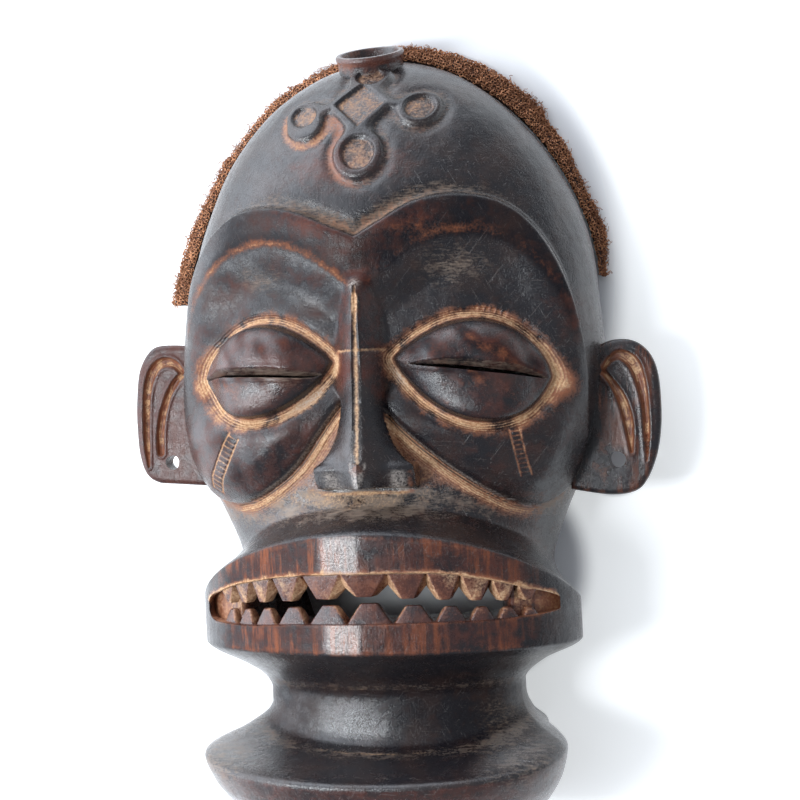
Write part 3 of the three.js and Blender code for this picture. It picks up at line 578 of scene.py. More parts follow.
def knot_fields(x, y):
    """Distances inside the outer and the inner edges of the forehead knot."""
    def turn(v):
        return np.arcsin(np.clip((v - DOME_Y) / DOME_RISE, -1, 1))

    up = (turn(y) - turn(KNOT["y"])) * KNOT["arc"]
    frame_at, wide, tall = KNOT["diamond"], KNOT["diamond"]["wide"], KNOT["diamond"]["tall"]
    aside, above = np.abs(x - frame_at["x"]), np.abs(up - frame_at["up"])
    within = (1 - aside / wide - above / tall) / math.hypot(1 / wide, 1 / tall)
    loops = np.max([radius - np.hypot(x - cx, up - cy) for cx, cy, radius, _ in LOOPS], axis=0)
    eyes = np.max([eye - np.hypot(x - cx, up - cy) for cx, cy, _, eye in LOOPS if eye], axis=0)
    outer = blend(loops, within + KNOT["strap"], KNOT["web"])
    for cx, cy, _, eye in LOOPS[2:4]:
        corner = np.array([[math.copysign(wide, cx), frame_at["up"]], [cx, cy]])
        outer = np.maximum(outer, KNOT["link"] - distance_to(corner, x, up)[0])
    inner = np.maximum(eyes, within)
    return outer, inner


def tear_marks(x, y):
    """Strength of the cuts of the ladder-like marks under the eyes."""
    marks = np.zeros(np.shape(x))
    for tear in TEARS:
        start, end = np.array(tear["from"]), np.array(tear["to"])
        way = end - start
        length = np.linalg.norm(way)
        ux, uy = way / length
        along = (x - start[0]) * ux + (y - start[1]) * uy
        across = np.abs((y - start[1]) * ux - (x - start[0]) * uy)
        on = smooth(-0.5, 0.5, along) * smooth(length + 0.5, length - 0.5, along)
        rails = bell(across - tear["wide"] / 2, 0.42)
        step = np.abs((along / tear["rung"]) % 1 - 0.5) * tear["rung"]
        rungs = bell(step, 0.35) * smooth(tear["wide"] / 2 + 0.2, tear["wide"] / 2 - 0.3, across)
        marks = np.maximum(marks, on * np.maximum(rails, 0.75 * rungs))
    return marks


def carve_eyes(x, y, height, fields):
    fields["eye"] = np.full(np.shape(x), -99.0)
    fields["slit"] = np.full(np.shape(x), -99.0)
    fields["slit_height"] = np.zeros(np.shape(x))
    fields["notch"] = np.zeros(np.shape(x))
    for eye in EYES:
        own = x * eye["outer"][0] > 0
        inside, share, across = eye_field(x, y, eye)
        full = np.clip(inside / 13, 0, 1)
        ends = smooth(1, 0.35, np.abs(2 * share - 1))
        swell = EYE_SWELL * (0.35 + 0.65 * ends) * np.sqrt(1 - (1 - full) ** 2) * smooth(-0.2, 1, inside)
        from_core = inside + EYE_GROOVE["from_edge"]
        width = np.where(from_core > 0, EYE_GROOVE["inner"], EYE_GROOVE["outer"])
        below, whole = slit_field(share, across, eye)
        open_height = whole * eye["open"]
        facet = np.clip(below, 0, None) * EYE_SLIT["fall"]
        climb = np.maximum(whole - below, 0) * EYE_SLIT["rise"]
        floor = np.where(below < whole - open_height * 0.5, facet, climb)
        lips = EYE_SLIT["upper_lip"] * bell(below + 0.7, 0.8)
        lips += EYE_SLIT["lower_lip"] * bell(whole - below + 0.8, 0.8)
        change = swell - EYE_GROOVE["depth"] * bell(from_core, width)
        change += np.where((below > 0) & (below < whole), -floor, 0) + lips * smooth(0, 1.2, whole)
        height += np.where(own, change, 0)
        fields["eye"] = np.where(own, inside, fields["eye"])
        fields["slit"] = np.where(own & (whole > 0), below, fields["slit"])
        fields["slit_height"] = np.where(own, whole, fields["slit_height"])
        if eye is EYES[1]:
            # Chisel cuts along the top of the border of the eye on this side.
            place = (share - NOTCHES["from"]) / (NOTCHES["to"] - NOTCHES["from"]) * NOTCHES["count"]
            row = (place > 0) & (place < NOTCHES["count"]) & own & (across > 0)
            notch = np.where(row, bell(inside + NOTCHES["off"], 0.8) * np.abs(np.sin(place * PI)), 0)
            height -= NOTCHES["depth"] * notch
            fields["notch"] = notch
    return height


def carve_nose(x, y, plain, height, fields):
    """The nose as a roof that stands free between its wings and melts into the face over them."""
    ridge, foot, drop = columns(NOSE, y)
    within = foot - np.abs(x)
    free = smooth(15, 7, y)
    winged = smooth(-7, -14, y)
    roof = ridge - drop * (np.abs(x) / foot) ** (1.5 - 0.5 * winged)
    roof -= (NOSE_SIDES["fall"] + NOSE_SIDES["free_fall"] * free) * np.maximum(-within, 0)
    roof -= NOSE_SIDES["wing_groove"] * winged * bell(np.abs(x) - 7.5, 3.6)
    # The wings' ends turn down in two facets beside the end of the ridge.
    beside = smooth(0.4, 4.5, np.abs(x))
    roof -= np.maximum(NOSE_TIP["from"] - y, 0) * (NOSE_TIP["fall"] + NOSE_TIP["wing_fall"] * beside)
    on_nose = (y < NOSE[0][0]) & (y > -24) & (np.abs(x) < 30)
    merged = blend(height, roof - plain, 0.5 + NOSE_SIDES["web"] * (1 - free))
    sharp = np.maximum(height, roof - plain)
    cut = smooth(*NOSE_TIP["end"], y)
    raised = np.where(y > 7, merged, sharp) - height
    fade = smooth(NOSE[0][0], NOSE[0][0] - 6, y)
    height = height + np.where(on_nose, raised * cut * fade, 0)
    fields["nose"] = np.where(on_nose, within, -30)
    groove = NOSE_GROOVE
    tall = smooth(groove["top"], groove["top"] - 5, y) * smooth(groove["foot"], groove["foot"] + 7, y)
    height -= groove["depth"] * smooth(groove["half"] * (0.3 + 0.7 * tall), 0.2, np.abs(x)) * (tall > 0)
    fields["stripe"] = np.where(tall > 0, np.abs(x) / (0.3 + 0.7 * tall), 9.0)
    return height


def carve_face(x, y, plain):
    """Height of the face carving over the plain head, with the distances that its finish needs."""
    fields = {}
    plate_line = np.vstack([spline(PLATE_RIGHT, 90), spline(PLATE_LEFT, 90)])
    socket_line = np.vstack([spline(SOCKET[:10], 66), SOCKET[10:]])
    plate = inside_outline(plate_line, x, y)
    socket = inside_outline(socket_line, np.abs(x), y)
    fields["plate"], fields["socket"] = plate, socket
    soft = BROW["soft"] * smooth(35, 60, y)
    height = PLATE_STEP * smooth(-0.8 - soft, 0.6 + soft * 0.4, plate)
    height -= BROW["fall"] * smooth(0.5, 15, plate) * smooth(25, 50, y)
    height -= BROW["furrow"] * bell(plate + 2.4, 2.6) * smooth(60, 70, y) * bell(x, 42)
    height += CHEEK["swell"] * smooth(0, 11, plate) * smooth(14, -4, y)
    # The cheeks end in a narrow bevel over the hollows beside the nose, with a thin ledge below it.
    crest = smooth(13, 8, y) * smooth(66, 52, np.abs(x))
    height -= CHEEK["bevel"] * smooth(2.6, 0, plate) * smooth(-1.2, 0, plate) * crest
    height += CHEEK["ledge"] * bell(plate + 3, 0.7) * crest
    sunk = np.clip(0.5 * (socket + np.sqrt(socket * socket + 0.3)), 0, SOCKET_REACH)
    fall = 0.5 * sunk / SOCKET_REACH + 0.5 * smooth(0, SOCKET_REACH, sunk)
    height -= SOCKET_DEPTH * fall * smooth(-4, 20, y)
    height = carve_eyes(x, y, height, fields)
    height = carve_nose(x, y, plain, height, fields)
    # A thin cut joins the inner corners of the eyes across the nose.
    fields["joint"] = bell(y - NOSE_CUT["y"], NOSE_CUT["half"]) * smooth(9.8, 8, np.abs(x))
    fields["tear"] = tear_marks(x, y)
    height -= NOSE_CUT["depth"] * fields["joint"] + TEAR_DEPTH * fields["tear"]
    return height, fields


def outside_sheet():
    """The carved outside as a grid of points, foot to crown, with the fields of its finish."""
    fine = np.linspace(0, LINES, 4001)
    rows = arches(fine)
    front = np.stack([rows[:, 1], rows[:, 5]], axis=-1)
    density = 1 + FACE_DENSITY * smooth(-42, -34, front[:, 0]) * smooth(75, 60, front[:, 0])
    steps = np.linalg.norm(np.diff(front, axis=0), axis=1) * density[1:]
    length = np.concatenate([[0], np.cumsum(steps)])
    lines = np.interp(np.linspace(0, length[-1], RISE_CELLS + 1), length, fine)[:-1]
    wall = np.linspace(0, SIDE_SHARE, WALL_CELLS + 1)
    face = np.linspace(SIDE_SHARE, 1 - SIDE_SHARE, FRONT_CELLS + 1)
    across = np.concatenate([wall, face[1:-1], 1 - wall[::-1]])
    x, y, z = on_arch(arches(lines), across, through(SIDES)(lines))
    line = lines[:, None] + 0 * x
    height, fields = carve_face(x, y, z)
    outer, inner = knot_fields(x, y)
    raised = KNOT["height"] * smooth(-1, 1, outer) - KNOT["sunk"] * smooth(-0.9, 0.9, inner)
    raised -= KNOT["halo"] * bell(outer + 1.8, 2.2)
    on_dome = line > DOME_LINE
    height += np.where(on_dome, raised, 0)
    fields["knot"], fields["knot_eye"] = np.where(on_dome, outer, -99), np.where(on_dome, inner, -99)
    height *= smooth(1, 12, z) * smooth(*FACE_FADE, line)
    facets = sum(high * waves(x, y * squeeze, z, size, 9, seed) for high, squeeze, size, seed in ADZE)
    height += (facets - ADZE_SINK) * smooth(0.5, 6, z)
    out = np.stack([x / HEAD_HALF**2, np.maximum(y - DOME_Y, 0) / DOME_RISE**2, z / HEAD_DEPTH**2], axis=-1)
    out /= np.linalg.norm(out, axis=-1, keepdims=True)
    points = np.stack([x, y, z], axis=-1) + out * height[..., None]
    lips = smooth(LIP_LINES[0] - 0.9, LIP_LINES[0], line) * smooth(LIP_LINES[1] + 0.9, LIP_LINES[1], line)
    points[..., 2] -= keel(x) * lips * smooth(30, 50, z)
    fields.update(x=x, y=y, z=z, line=line)
    return points, fields


# Meshes

def new_object(name, data):
    obj = bpy.data.objects.new(name, data)
    bpy.context.scene.collection.objects.link(obj)
    return obj


def mesh_from(name, points, quads=(), triangles=()):
    """A mesh from arrays of points, quads and triangles."""
    mesh = bpy.data.meshes.new(name)
    quads, triangles = np.asarray(quads, int).reshape(-1, 4), np.asarray(triangles, int).reshape(-1, 3)
    corners = np.concatenate([quads.ravel(), triangles.ravel()])
    sizes = np.concatenate([np.full(len(quads), 4), np.full(len(triangles), 3)])
    mesh.vertices.add(len(points))
    mesh.vertices.foreach_set("co", np.asarray(points, np.float32).ravel())
    mesh.loops.add(len(corners))
    mesh.loops.foreach_set("vertex_index", corners.astype(np.int32))
    mesh.polygons.add(len(sizes))
    mesh.polygons.foreach_set("loop_start", (np.cumsum(sizes) - sizes).astype(np.int32))
    mesh.update(calc_edges=True)
    return mesh


def facing_out(mesh):
    """Turns a closed mesh's faces to point out."""
    made = bmesh.new()
    made.from_mesh(mesh)
    bmesh.ops.recalc_face_normals(made, faces=made.faces)
    if made.calc_volume(signed=True) < 0:
        bmesh.ops.reverse_faces(made, faces=made.faces)
    made.to_mesh(mesh)
    made.free()
    return mesh


def skinned(name, rings, first_tip=None, last_tip=None):
    """A closed mesh over rings of points, each end closed to a tip or to the middle of its ring."""
    rings = np.asarray(rings, float)
    count, around = rings.shape[:2]
    first = rings[0].mean(axis=0) if first_tip is None else first_tip
    last = rings[-1].mean(axis=0) if last_tip is None else last_tip
    points = np.vstack([rings.reshape(-1, 3), first, last])
    k = np.arange(count - 1)[:, None] * around
    i, j = np.arange(around), (np.arange(around) + 1) % around
    quads = np.stack([k + i, k + j, k + around + j, k + around + i], axis=-1)
    end = (count - 1) * around
    low = np.stack([j, i, np.full(around, len(points) - 2)], axis=-1)
    high = np.stack([end + i, end + j, np.full(around, len(points) - 1)], axis=-1)
    return facing_out(mesh_from(name, points, quads, np.vstack([low, high])))


def baked(obj):
    """The object with its modifiers applied."""
    graph = bpy.context.evaluated_depsgraph_get()
    mesh = bpy.data.meshes.new_from_object(obj.evaluated_get(graph))
    old = obj.data
    obj.modifiers.clear()
    obj.data = mesh
    bpy.data.meshes.remove(old)
    return obj


def thinned(obj, triangles):
    """The object with about this many triangles left, most of them where it is carved."""
    now = sum(len(p.vertices) - 2 for p in obj.data.polygons)
    thin = obj.modifiers.new("thin", "DECIMATE")
    thin.ratio = min(1, triangles / now)
    thin.use_collapse_triangulate = True
    return baked(obj)


def joined(obj, operation, others):
    """The object with other closed meshes joined to it or cut from it, which are then gone."""
    group = bpy.data.collections.new(operation.lower())
    for other in others:
        group.objects.link(other)
    cut = obj.modifiers.new("cut", "BOOLEAN")
    cut.operation = operation
    cut.operand_type = "COLLECTION"
    cut.collection = group
    cut.solver = "MANIFOLD"
    baked(obj)
    for other in others:
        mesh = other.data
        bpy.data.objects.remove(other)
        bpy.data.meshes.remove(mesh)
    bpy.data.collections.remove(group)
    return obj


def points_of(mesh):
    co = np.empty(len(mesh.vertices) * 3, np.float32)
    mesh.vertices.foreach_get("co", co)
    return co.reshape(-1, 3).astype(float)


def carved_block(points):
    """The closed block: the sheet, a flat back, a flat foot and the crown's point."""
    rows, row = points.shape[:2]
    flat = points.reshape(-1, 3)
    crown, foot = len(flat), len(flat) + 1
    ends = np.array([[0, DOME_Y + DOME_RISE, 0], [0, FOOT_Y, 30]])
    k = np.arange(rows - 1)[:, None] * row + np.arange(row - 1)
    sheet = np.stack([k, k + 1, k + row + 1, k + row], axis=-1).reshape(-1, 4)
    left = np.arange(rows - 1) * row
    back = np.stack([left, left + row, left + 2 * row - 1, left + row - 1], axis=-1)
    i = np.arange(row - 1)
    top = (rows - 1) * row
    fan = np.stack([top + i, top + i + 1, np.full(row - 1, crown)], axis=-1)
    sole = np.stack([i + 1, i, np.full(row - 1, foot)], axis=-1)
    closing = np.array([[0, row - 1, foot], [top + row - 1, top, crown]])
    quads, triangles = np.vstack([sheet, back]), np.vstack([fan, sole, closing])
    mesh = mesh_from("block", np.vstack([flat, ends]), quads, triangles)
    return thinned(new_object("block", facing_out(mesh)), BLOCK_TRIANGLES)


def hollow_cutter():
    """The space for the wearer's face, hewn with a gouge."""
    ys = np.linspace(HOLLOW[0][0], DOME_Y, 90)
    rim, wide, knee, top, roundness = columns(HOLLOW, ys)
    rows = np.stack([ys, ys, rim, wide, knee, top, roundness, np.ones_like(ys)], axis=-1)
    rise = np.linspace(0, PI / 2 - 0.04, 40)[1:]
    dome = np.repeat(rows[-1:], len(rise), axis=0)
    dome[:, 0] = dome[:, 1] = DOME_Y + HOLLOW_RISE * np.sin(rise)
    dome[:, 2:6] *= np.cos(rise)[:, None]
    dome[:, 6] = HOLLOW_DOME_ROUNDNESS
    rows = np.vstack([rows, dome])
    x, y, z = on_arch(rows, np.linspace(0, 1, 101))
    marks = np.abs(np.sin(y * 2 * PI / GOUGE["length"] + GOUGE["sway"] * waves(x, y, z, 40, 5, seed=8)))
    dent = GOUGE["depth"] * marks * smooth(3, 12, z)
    shrink = 1 - dent / np.maximum(np.hypot(x, z), 10)
    x, z = x * shrink, z * shrink
    below = np.full((len(rows), 1), -BELOW)
    x = np.hstack([x, x[:, -1:], x[:, :1]])
    y = np.hstack([y, y[:, -1:], y[:, :1]])
    z = np.hstack([z, below, below])
    return new_object("hollow", skinned("hollow", np.stack([x, y, z], axis=-1)))


def mouth_cutter():
    """The opening between the lips, with a narrow bevel at its front edge."""
    xs = np.linspace(MOUTH[0][0], MOUTH[-1][0], 130)
    high, low = columns(MOUTH, xs)
    front = lip_front(xs)
    shallow = front - MOUTH_END_DEPTH
    back = MOUTH_BACK + (shallow - MOUTH_BACK) * smooth(*MOUTH_THROUGH, np.abs(xs))
    wide, deep = MOUTH_BEVEL["wide"], MOUTH_BEVEL["deep"]
    rough = 0.1 * waves(xs, xs * 0, xs * 0, 7, 6, seed=5)
    outer = wide * smooth(MOUTH[-1][0], MOUTH[-1][0] - 6, np.abs(xs)) + rough
    section = [
        (high + outer * 6, front + deep * 6), (high + rough * 0.5, front - deep), (high, back),
        (low, back), (low, front - deep), (low - outer * 3, front + deep * 6),
    ]
    rings = np.stack([np.stack([xs, y, z], axis=-1) for y, z in section], axis=1)
    return new_object("mouth", skinned("mouth", rings))


def toned(places, **amounts):
    """Places given as their x, y and z, with a row of tones for each. A tone that isn't named is 0."""
    places = np.stack(np.broadcast_arrays(*places), axis=-1)
    tones = [np.broadcast_to(amounts.get(name, 0.0), places.shape[:-1]).ravel() for name in TONES]
    return places.reshape(-1, 3), np.stack(tones, axis=-1)


def mouth_tones():
    """Tones on the walls of the mouth opening: bare wood on its upper edge and at both ends."""
    xs = np.linspace(MOUTH[0][0], MOUTH[-1][0], 240)
    high, low = columns(MOUTH, xs)
    front = lip_front(xs)
    ends = smooth(50, 60, np.abs(xs))
    for edge, upper in ((high, 1), (low, 0)):
        for deep in (0.5, 1.5, 3, 5, 7, 10, 14):
            bare = 0.85 * upper * bell(deep - 0.9, 1.1) + 0.4 * ends
            yield toned((xs, edge, front - deep), tan=bare, rust=0.4 + 0.6 * ends, red=0.7)
    for share in (0.25, 0.5, 0.75):
        middle = (xs, low + (high - low) * share, front - MOUTH_END_DEPTH)
        yield toned(middle, tan=0.5 * ends, rust=0.9 * ends, red=0.7)


def slit_cutter(eye):
    """The opening under the upper lid, right through the wall."""
    inner, way, up = eye_line(eye)
    share = np.linspace(eye["slit"][0][0] + 0.025, eye["slit"][-1][0] - 0.02, 60)
    middle, half = columns(eye["slit"], share)
    low = middle - half + 0.05
    high = low + 2 * half * eye["open"]
    place = inner + way * share[:, None]
    bottom, top = SLIT_CUT
    rings = []
    for rail, z in ((high, top), (high, bottom), (low, bottom), (low, top)):
        rings.append(np.column_stack([place + up * rail[:, None], np.full(len(share), z)]))
    return new_object("slit", skinned("slit", np.stack(rings, axis=1)))


def groove_field(grooves, x, y):
    """How deep a place lies in the gouged grooves of an ear: 1 at their floor, 0 beside them."""
    deep = np.zeros(np.shape(x))
    off = np.full(np.shape(x), 99.0)
    for rows in grooves:
        line = spline(rows, 60)
        gap = np.hypot(x[..., None] - line[:, 0], y[..., None] - line[:, 1])
        edge = np.min(gap - line[:, 2], axis=-1)
        deep = np.maximum(deep, smooth(0.25, -0.9, edge))
        off = np.minimum(off, edge)
    return deep, off


def ear_parts(ear):
    """An ear plate with rounded edges and two gouged grooves, and the cutter of its hole."""
    side = ear["side"]
    outline = spline(ear["outline"], 170)
    middle = np.array(EAR["middle"])
    shares = 1 - np.linspace(0, 1, 60)[:-1] ** 1.2
    around = middle + (outline - middle) * shares[:, None, None]
    x, y = around[..., 0], around[..., 1]
    edge, _ = distance_to(outline, x, y)
    z = EAR["front"] - EAR["edge"] * (1 - np.sqrt(1 - (1 - np.clip(edge / EAR["round"], 0, 1)) ** 2))
    deep, off = groove_field(ear["grooves"], x, y)
    z -= EAR["groove"] * deep
    z += EAR["burr"] * bell(off - 0.7, 0.6) + 0.06 * waves(x, y * 0.4, 0 * x, 8, 6, seed=12 + side)
    front = np.stack([x * side, y, z], axis=-1)
    outward = (outline - middle) / np.linalg.norm(outline - middle, axis=1, keepdims=True)
    back, rim = front[0].copy(), front[0].copy()
    back[:, :2] -= EAR["inset"] * outward * (side, 1)
    back[:, 2] = EAR["front"] - EAR["thick"]
    rim[:, 2] -= EAR["rim"]
    mesh = skinned("ear", np.concatenate([back[None], rim[None], front]))
    hx, hy, radius = ear["hole"]
    turn = np.linspace(0, 2 * PI, 40, endpoint=False)
    radius = radius * (1 + 0.04 * np.sin(3 * turn + side))
    circle = np.column_stack([hx * side + radius * np.cos(turn), hy + radius * np.sin(turn)])
    hole = [np.column_stack([circle, np.full(40, z)]) for z in (EAR["front"] - 12, EAR["front"] + 4)]
    plate = thinned(new_object("ear", mesh), EAR["triangles"])
    return plate, new_object("hole", skinned("hole", hole)), ear_tones(side, x, y, z, deep, off)


def ear_tones(side, x, y, z, deep, off):
    """Bare wood in an ear's grooves with a painted shade along their edges, and grain on its front. The left
    one is redder, the right streaked.
    """
    by_head = bell(x - 81, 3.2) * (0.7 + 0.5 * waves(x, y, 0 * x, 8, 6, seed=72)) * (side > 0)
    ragged = 0.75 + 0.75 * waves(x, y, 0 * x, 5, 8, seed=71)
    red, streak, dull = (0.7, 0.12, 0.35) if side < 0 else (0.2, 0.45, 0.1)
    # A thin painted shade lies along the top of each groove's edge.
    return toned(
        (x * side, y, z), tan=0.68 * smooth(0.4, 1, deep) * ragged,
        rust=0.85 * smooth(1.2, -0.3, off) + 0.6 * by_head, red=red + 0.2 * smooth(3, 0, off),
        streak=streak, dull=dull, soot=0.5 * bell(off - 0.4, 0.45), cut=np.minimum(off, 8),
        cutting=smooth(0.4, -0.2, off),
    )


def crown_ring(radius, height, count):
    """X, y and z of a ring round the crown tube's axis."""
    turn = np.linspace(0, 2 * PI, count, endpoint=False)
    lean = math.radians(CROWN["lean"])
    across, up = radius * np.cos(turn), radius * np.sin(turn)
    y = height * math.cos(lean) - up * math.sin(lean)
    z = height * math.sin(lean) + up * math.cos(lean)
    return np.stack([CROWN["x"] + across, CROWN["y"] + y, CROWN["z"] + z])


def turned(name, profile):
    """A turned shape on the crown: its profile holds radius and height along the tube's axis."""
    return new_object(name, skinned(name, [crown_ring(radius, height, 72).T for radius, height in profile]))


def crown_tube():
    radius, lip = CROWN["radius"], CROWN["lip"]
    profile = [(radius - lip, -CROWN["height"]), (radius - lip, -3.8), (radius - lip * 0.8, -3)]
    profile += [(radius - 0.15, -2), (radius, -1.4), (radius - 0.05, -0.6), (radius - 0.5, 0)]
    return turned("tube", profile)


def crown_bore():
    bore = CROWN["bore"]
    profile = [(bore - 1, -CROWN["depth"]), (bore - 0.1, -0.8), (bore + 0.5, 0), (bore + 0.7, 1)]
    return turned("bore", profile)


def crown_tones():
    """Red worn wood round the crown's tube, with a painted highlight on its lip."""
    radius, bore, count = CROWN["radius"], CROWN["bore"], 90
    left = np.maximum(-np.cos(np.linspace(0, 2 * PI, count, endpoint=False)), 0)
    # Each row: radius, height along the axis, how pale and how red it is. The pale is a painted highlight.
    rows = [(radius, -0.9, 0.1, 0.8), (radius, -2.2, 0.15, 0.9), (radius, -5, 0, 0.5),
            (radius - 0.9, 0, 0.45, 0.5), (bore, -1.5, 0, 0.4), (bore, -6, 0, 0.2)]
    for out, along, pale, red in rows:
        rust = 0.35 * red + 0.5 * left * (along < -1)
        yield toned(crown_ring(out, along, count), pale=pale, red=red, rust=rust)


def tooth(x, wide, root, tip, upper):
    """A filed tooth. Upper ones are narrow in front and broad behind, lower ones taper evenly."""
    ahead = lip_front(x + 1) - lip_front(x - 1)
    turn = -math.atan2(ahead, 2)
    front = -TOOTH["inset"]
    back = front - TOOTH["thick"]
    gum = root + math.copysign(TOOTH["root"], root - tip)
    # Each row: y, half of the tooth's width as a share of its pitch, z.
    half_way = root + (tip - root) * 0.45
    shapes = {
        True: [(gum, 0.5, front + 0.6), (root, 0.45, front + 0.5), (gum, 0.58, back),
               (tip, 0.15, front - 0.5), (half_way, 0.53, back + 1.2), (tip, 0.24, back + 2)],
        False: [(gum, 0.5, front), (root, 0.46, front - 0.2), (gum, 0.54, back), (tip, 0.17, front - 1.4),
                (tip - 0.3, 0.2, back + 1.6)],
    }
    made = bmesh.new()
    for y, half, z in shapes[upper]:
        for sign in (-1, 1):
            made.verts.new((sign * half * wide, y, z))
    bmesh.ops.convex_hull(made, input=made.verts[:])
    bmesh.ops.dissolve_limit(made, angle_limit=0.02, verts=made.verts[:], edges=made.edges[:])
    bevel = TOOTH_BEVEL[upper]
    bmesh.ops.bevel(made, geom=made.edges[:], offset=bevel, segments=3, profile=0.5, affect="EDGES")
    bmesh.ops.transform(made, verts=made.verts[:], matrix=Matrix.Rotation(turn, 4, "Y"))
    bmesh.ops.translate(made, verts=made.verts[:], vec=(x, 0, lip_front(x)))
    mesh = bpy.data.meshes.new("tooth")
    made.to_mesh(mesh)
    made.free()
    return new_object("tooth", facing_out(mesh))


def tooth_tones(obj, x, wide, root, tip, upper):
    """Bare sides and a worn front on a tooth."""
    places = points_of(obj.data)
    down = np.clip((places[:, 1] - root) / (tip - root), 0, 1)
    bare = smooth(-0.3, 0.8, np.abs(places[:, 0] - x) - wide * (0.45 - 0.3 * down))
    return toned(
        places.T, tan=bare * (0.8 if upper else 0.4), rust=(0.45 if upper else 0.25) + 0.5 * bare,
        red=0.85 if upper else 0.55, streak=0.2, dust=0.1,
    )


def teeth():
    """Both rows of teeth with the tones of their finish. Each tooth meets its neighbours at the gum."""
    made, tones = [], []
    for row, upper in ((UPPER_TEETH, True), (LOWER_TEETH, False)):
        before = np.diff((2 * row[0] - row[1], *row))
        after = np.diff((*row, 2 * row[-1] - row[-2]))
        for x, left, right in zip(row, before, after):
            middle = x + (right - left) / 4
            root = float(through(MOUTH)(middle)[0 if upper else 1])
            tip = TOOTH["meet"] - abs(x) * TOOTH["drop"] + (0.5 if upper else -0.5) * TOOTH["gap"]
            shape = (middle, (left + right) / 2, root, tip, upper)
            made.append(tooth(*shape))
            tones.append(tooth_tones(made[-1], *shape))
    return made, tones


# Finish of the wood: how much of each tone a place has. Each part of the finish gives places, as a field of
# 0 to 1, with the tones that they have there.

def spots(f, *rows):
    """A sum of soft spots: how strong each one is, its place and its reach."""
    return sum(amount * near(f["x"], f["y"], place, reach) for amount, place, reach in rows)


def mottle(f, size, seed, squeeze=1.0):
    """Soft uneven patches of this many millimetres over the front."""
    return waves(f["x"], f["y"] * squeeze, 0 * f["x"], size, 7, seed=seed)


def border_finish(f):
    """The bare, ridged border of the eyes, widest and palest towards the nose and below, its palest spots
    partly painted highlight, with a painted shade along the foot of each eye's swell.
    """
    x, y, eye = f["x"], f["y"], f["eye"]
    outside = smooth(0.6, -0.4, eye)
    vary = np.clip(0.85 + 0.4 * mottle(f, 13, 51) + 0.3 * mottle(f, 5, 52), 0.35, 1.2)
    broad = smooth(64, 40, np.abs(x)) * smooth(30, 20, y) * np.where(x < 0, 1.0, 0.25)
    palest = spots(f, (1, (-23, 12), (10, 6)), (1, (16, 20), (6, 6)), (0.8, (-16, 26), (4, 4)))
    corners = spots(f, (0.9, (-69, 18), (7, 11)), (0.6, (-57, 4), (12, 6)), (0.9, (68, 12), (7, 8)))
    # Pale spots towards the nose: partly bare wood, partly a painted highlight.
    yield bell(eye + 2.3, 1.9) * outside * palest, {"pale": 1.05}
    yield bell(eye + 2.6, 2.6) * outside * palest, {"tan": 0.6}
    yield bell(eye + 1.6 + 0.4 * broad, 1.15 + 0.7 * broad) * outside * vary, {"tan": 0.88}
    yield (0.2 + 0.5 * corners) * bell(eye + 3.5, 2.6) * outside * vary, {"tan": 1}
    yield smooth(-12, -4, eye) * outside * corners, {"rust": 0.5}
    yield smooth(-8.5, -1.5, eye) * outside * (0.2 + 0.75 * vary), {"rust": 1}
    # A thin painted shade along the foot of the eye's swell.
    yield bell(eye + 0.1, 0.5) * (1 - 0.7 * broad), {"soot": 0.6}
    yield bell(eye + 2, 2.2) * outside, {"cutting": 1}
    yield np.where(eye > -8, eye, 0), {"cut": 1}
    yield smooth(-4, -6, eye) * spots(f, (1, (25, 4), (13, 7))), {"dull": 0.9}
    from_mark = np.hypot(x - EYE_MARK[0], y - EYE_MARK[1])
    yield bell(from_mark, 1.6), {"tan": 0.7}
    yield bell(from_mark, 4.5), {"rust": 0.8}


def lid_finish(f):
    """Clouded lids, rubbed red beside the slits, with a painted highlight on the left lower lid and a
    painted shade in the slits.
    """
    x, y, inside = f["x"], f["y"], smooth(0, 3, f["eye"])
    cloud = mottle(f, 9, 91)
    yield inside * np.where(x < 0, 0.5, 0.36), {"red": 1}
    yield inside * (0.25 + 0.5 * cloud) * smooth(14, 19, y), {"dull": 1}
    yield inside * np.maximum(cloud, 0), {"rust": 0.25}
    yield inside * (x < 0) * spots(f, (1, (-47, 16.5), (9, 3))), {"rust": 0.4}
    yield inside * spots(f, (1, (44, 26), (10, 2.5)), (1, (42, 14), (10, 2.5))), {"rust": 0.36}
    # The dusty grey here is a painted highlight on the left lower lid.
    yield smooth(0, 2, f["eye"]) * spots(f, (1, (-28, 19), (9, 4))), {"dust": 0.45}
    # Dust and a painted shade in the slits.
    yield smooth(-0.1, 0.3, f["slit"]) * (f["slit"] < f["slit_height"] + 0.2), {"dust": 0.5, "soot": 0.35}


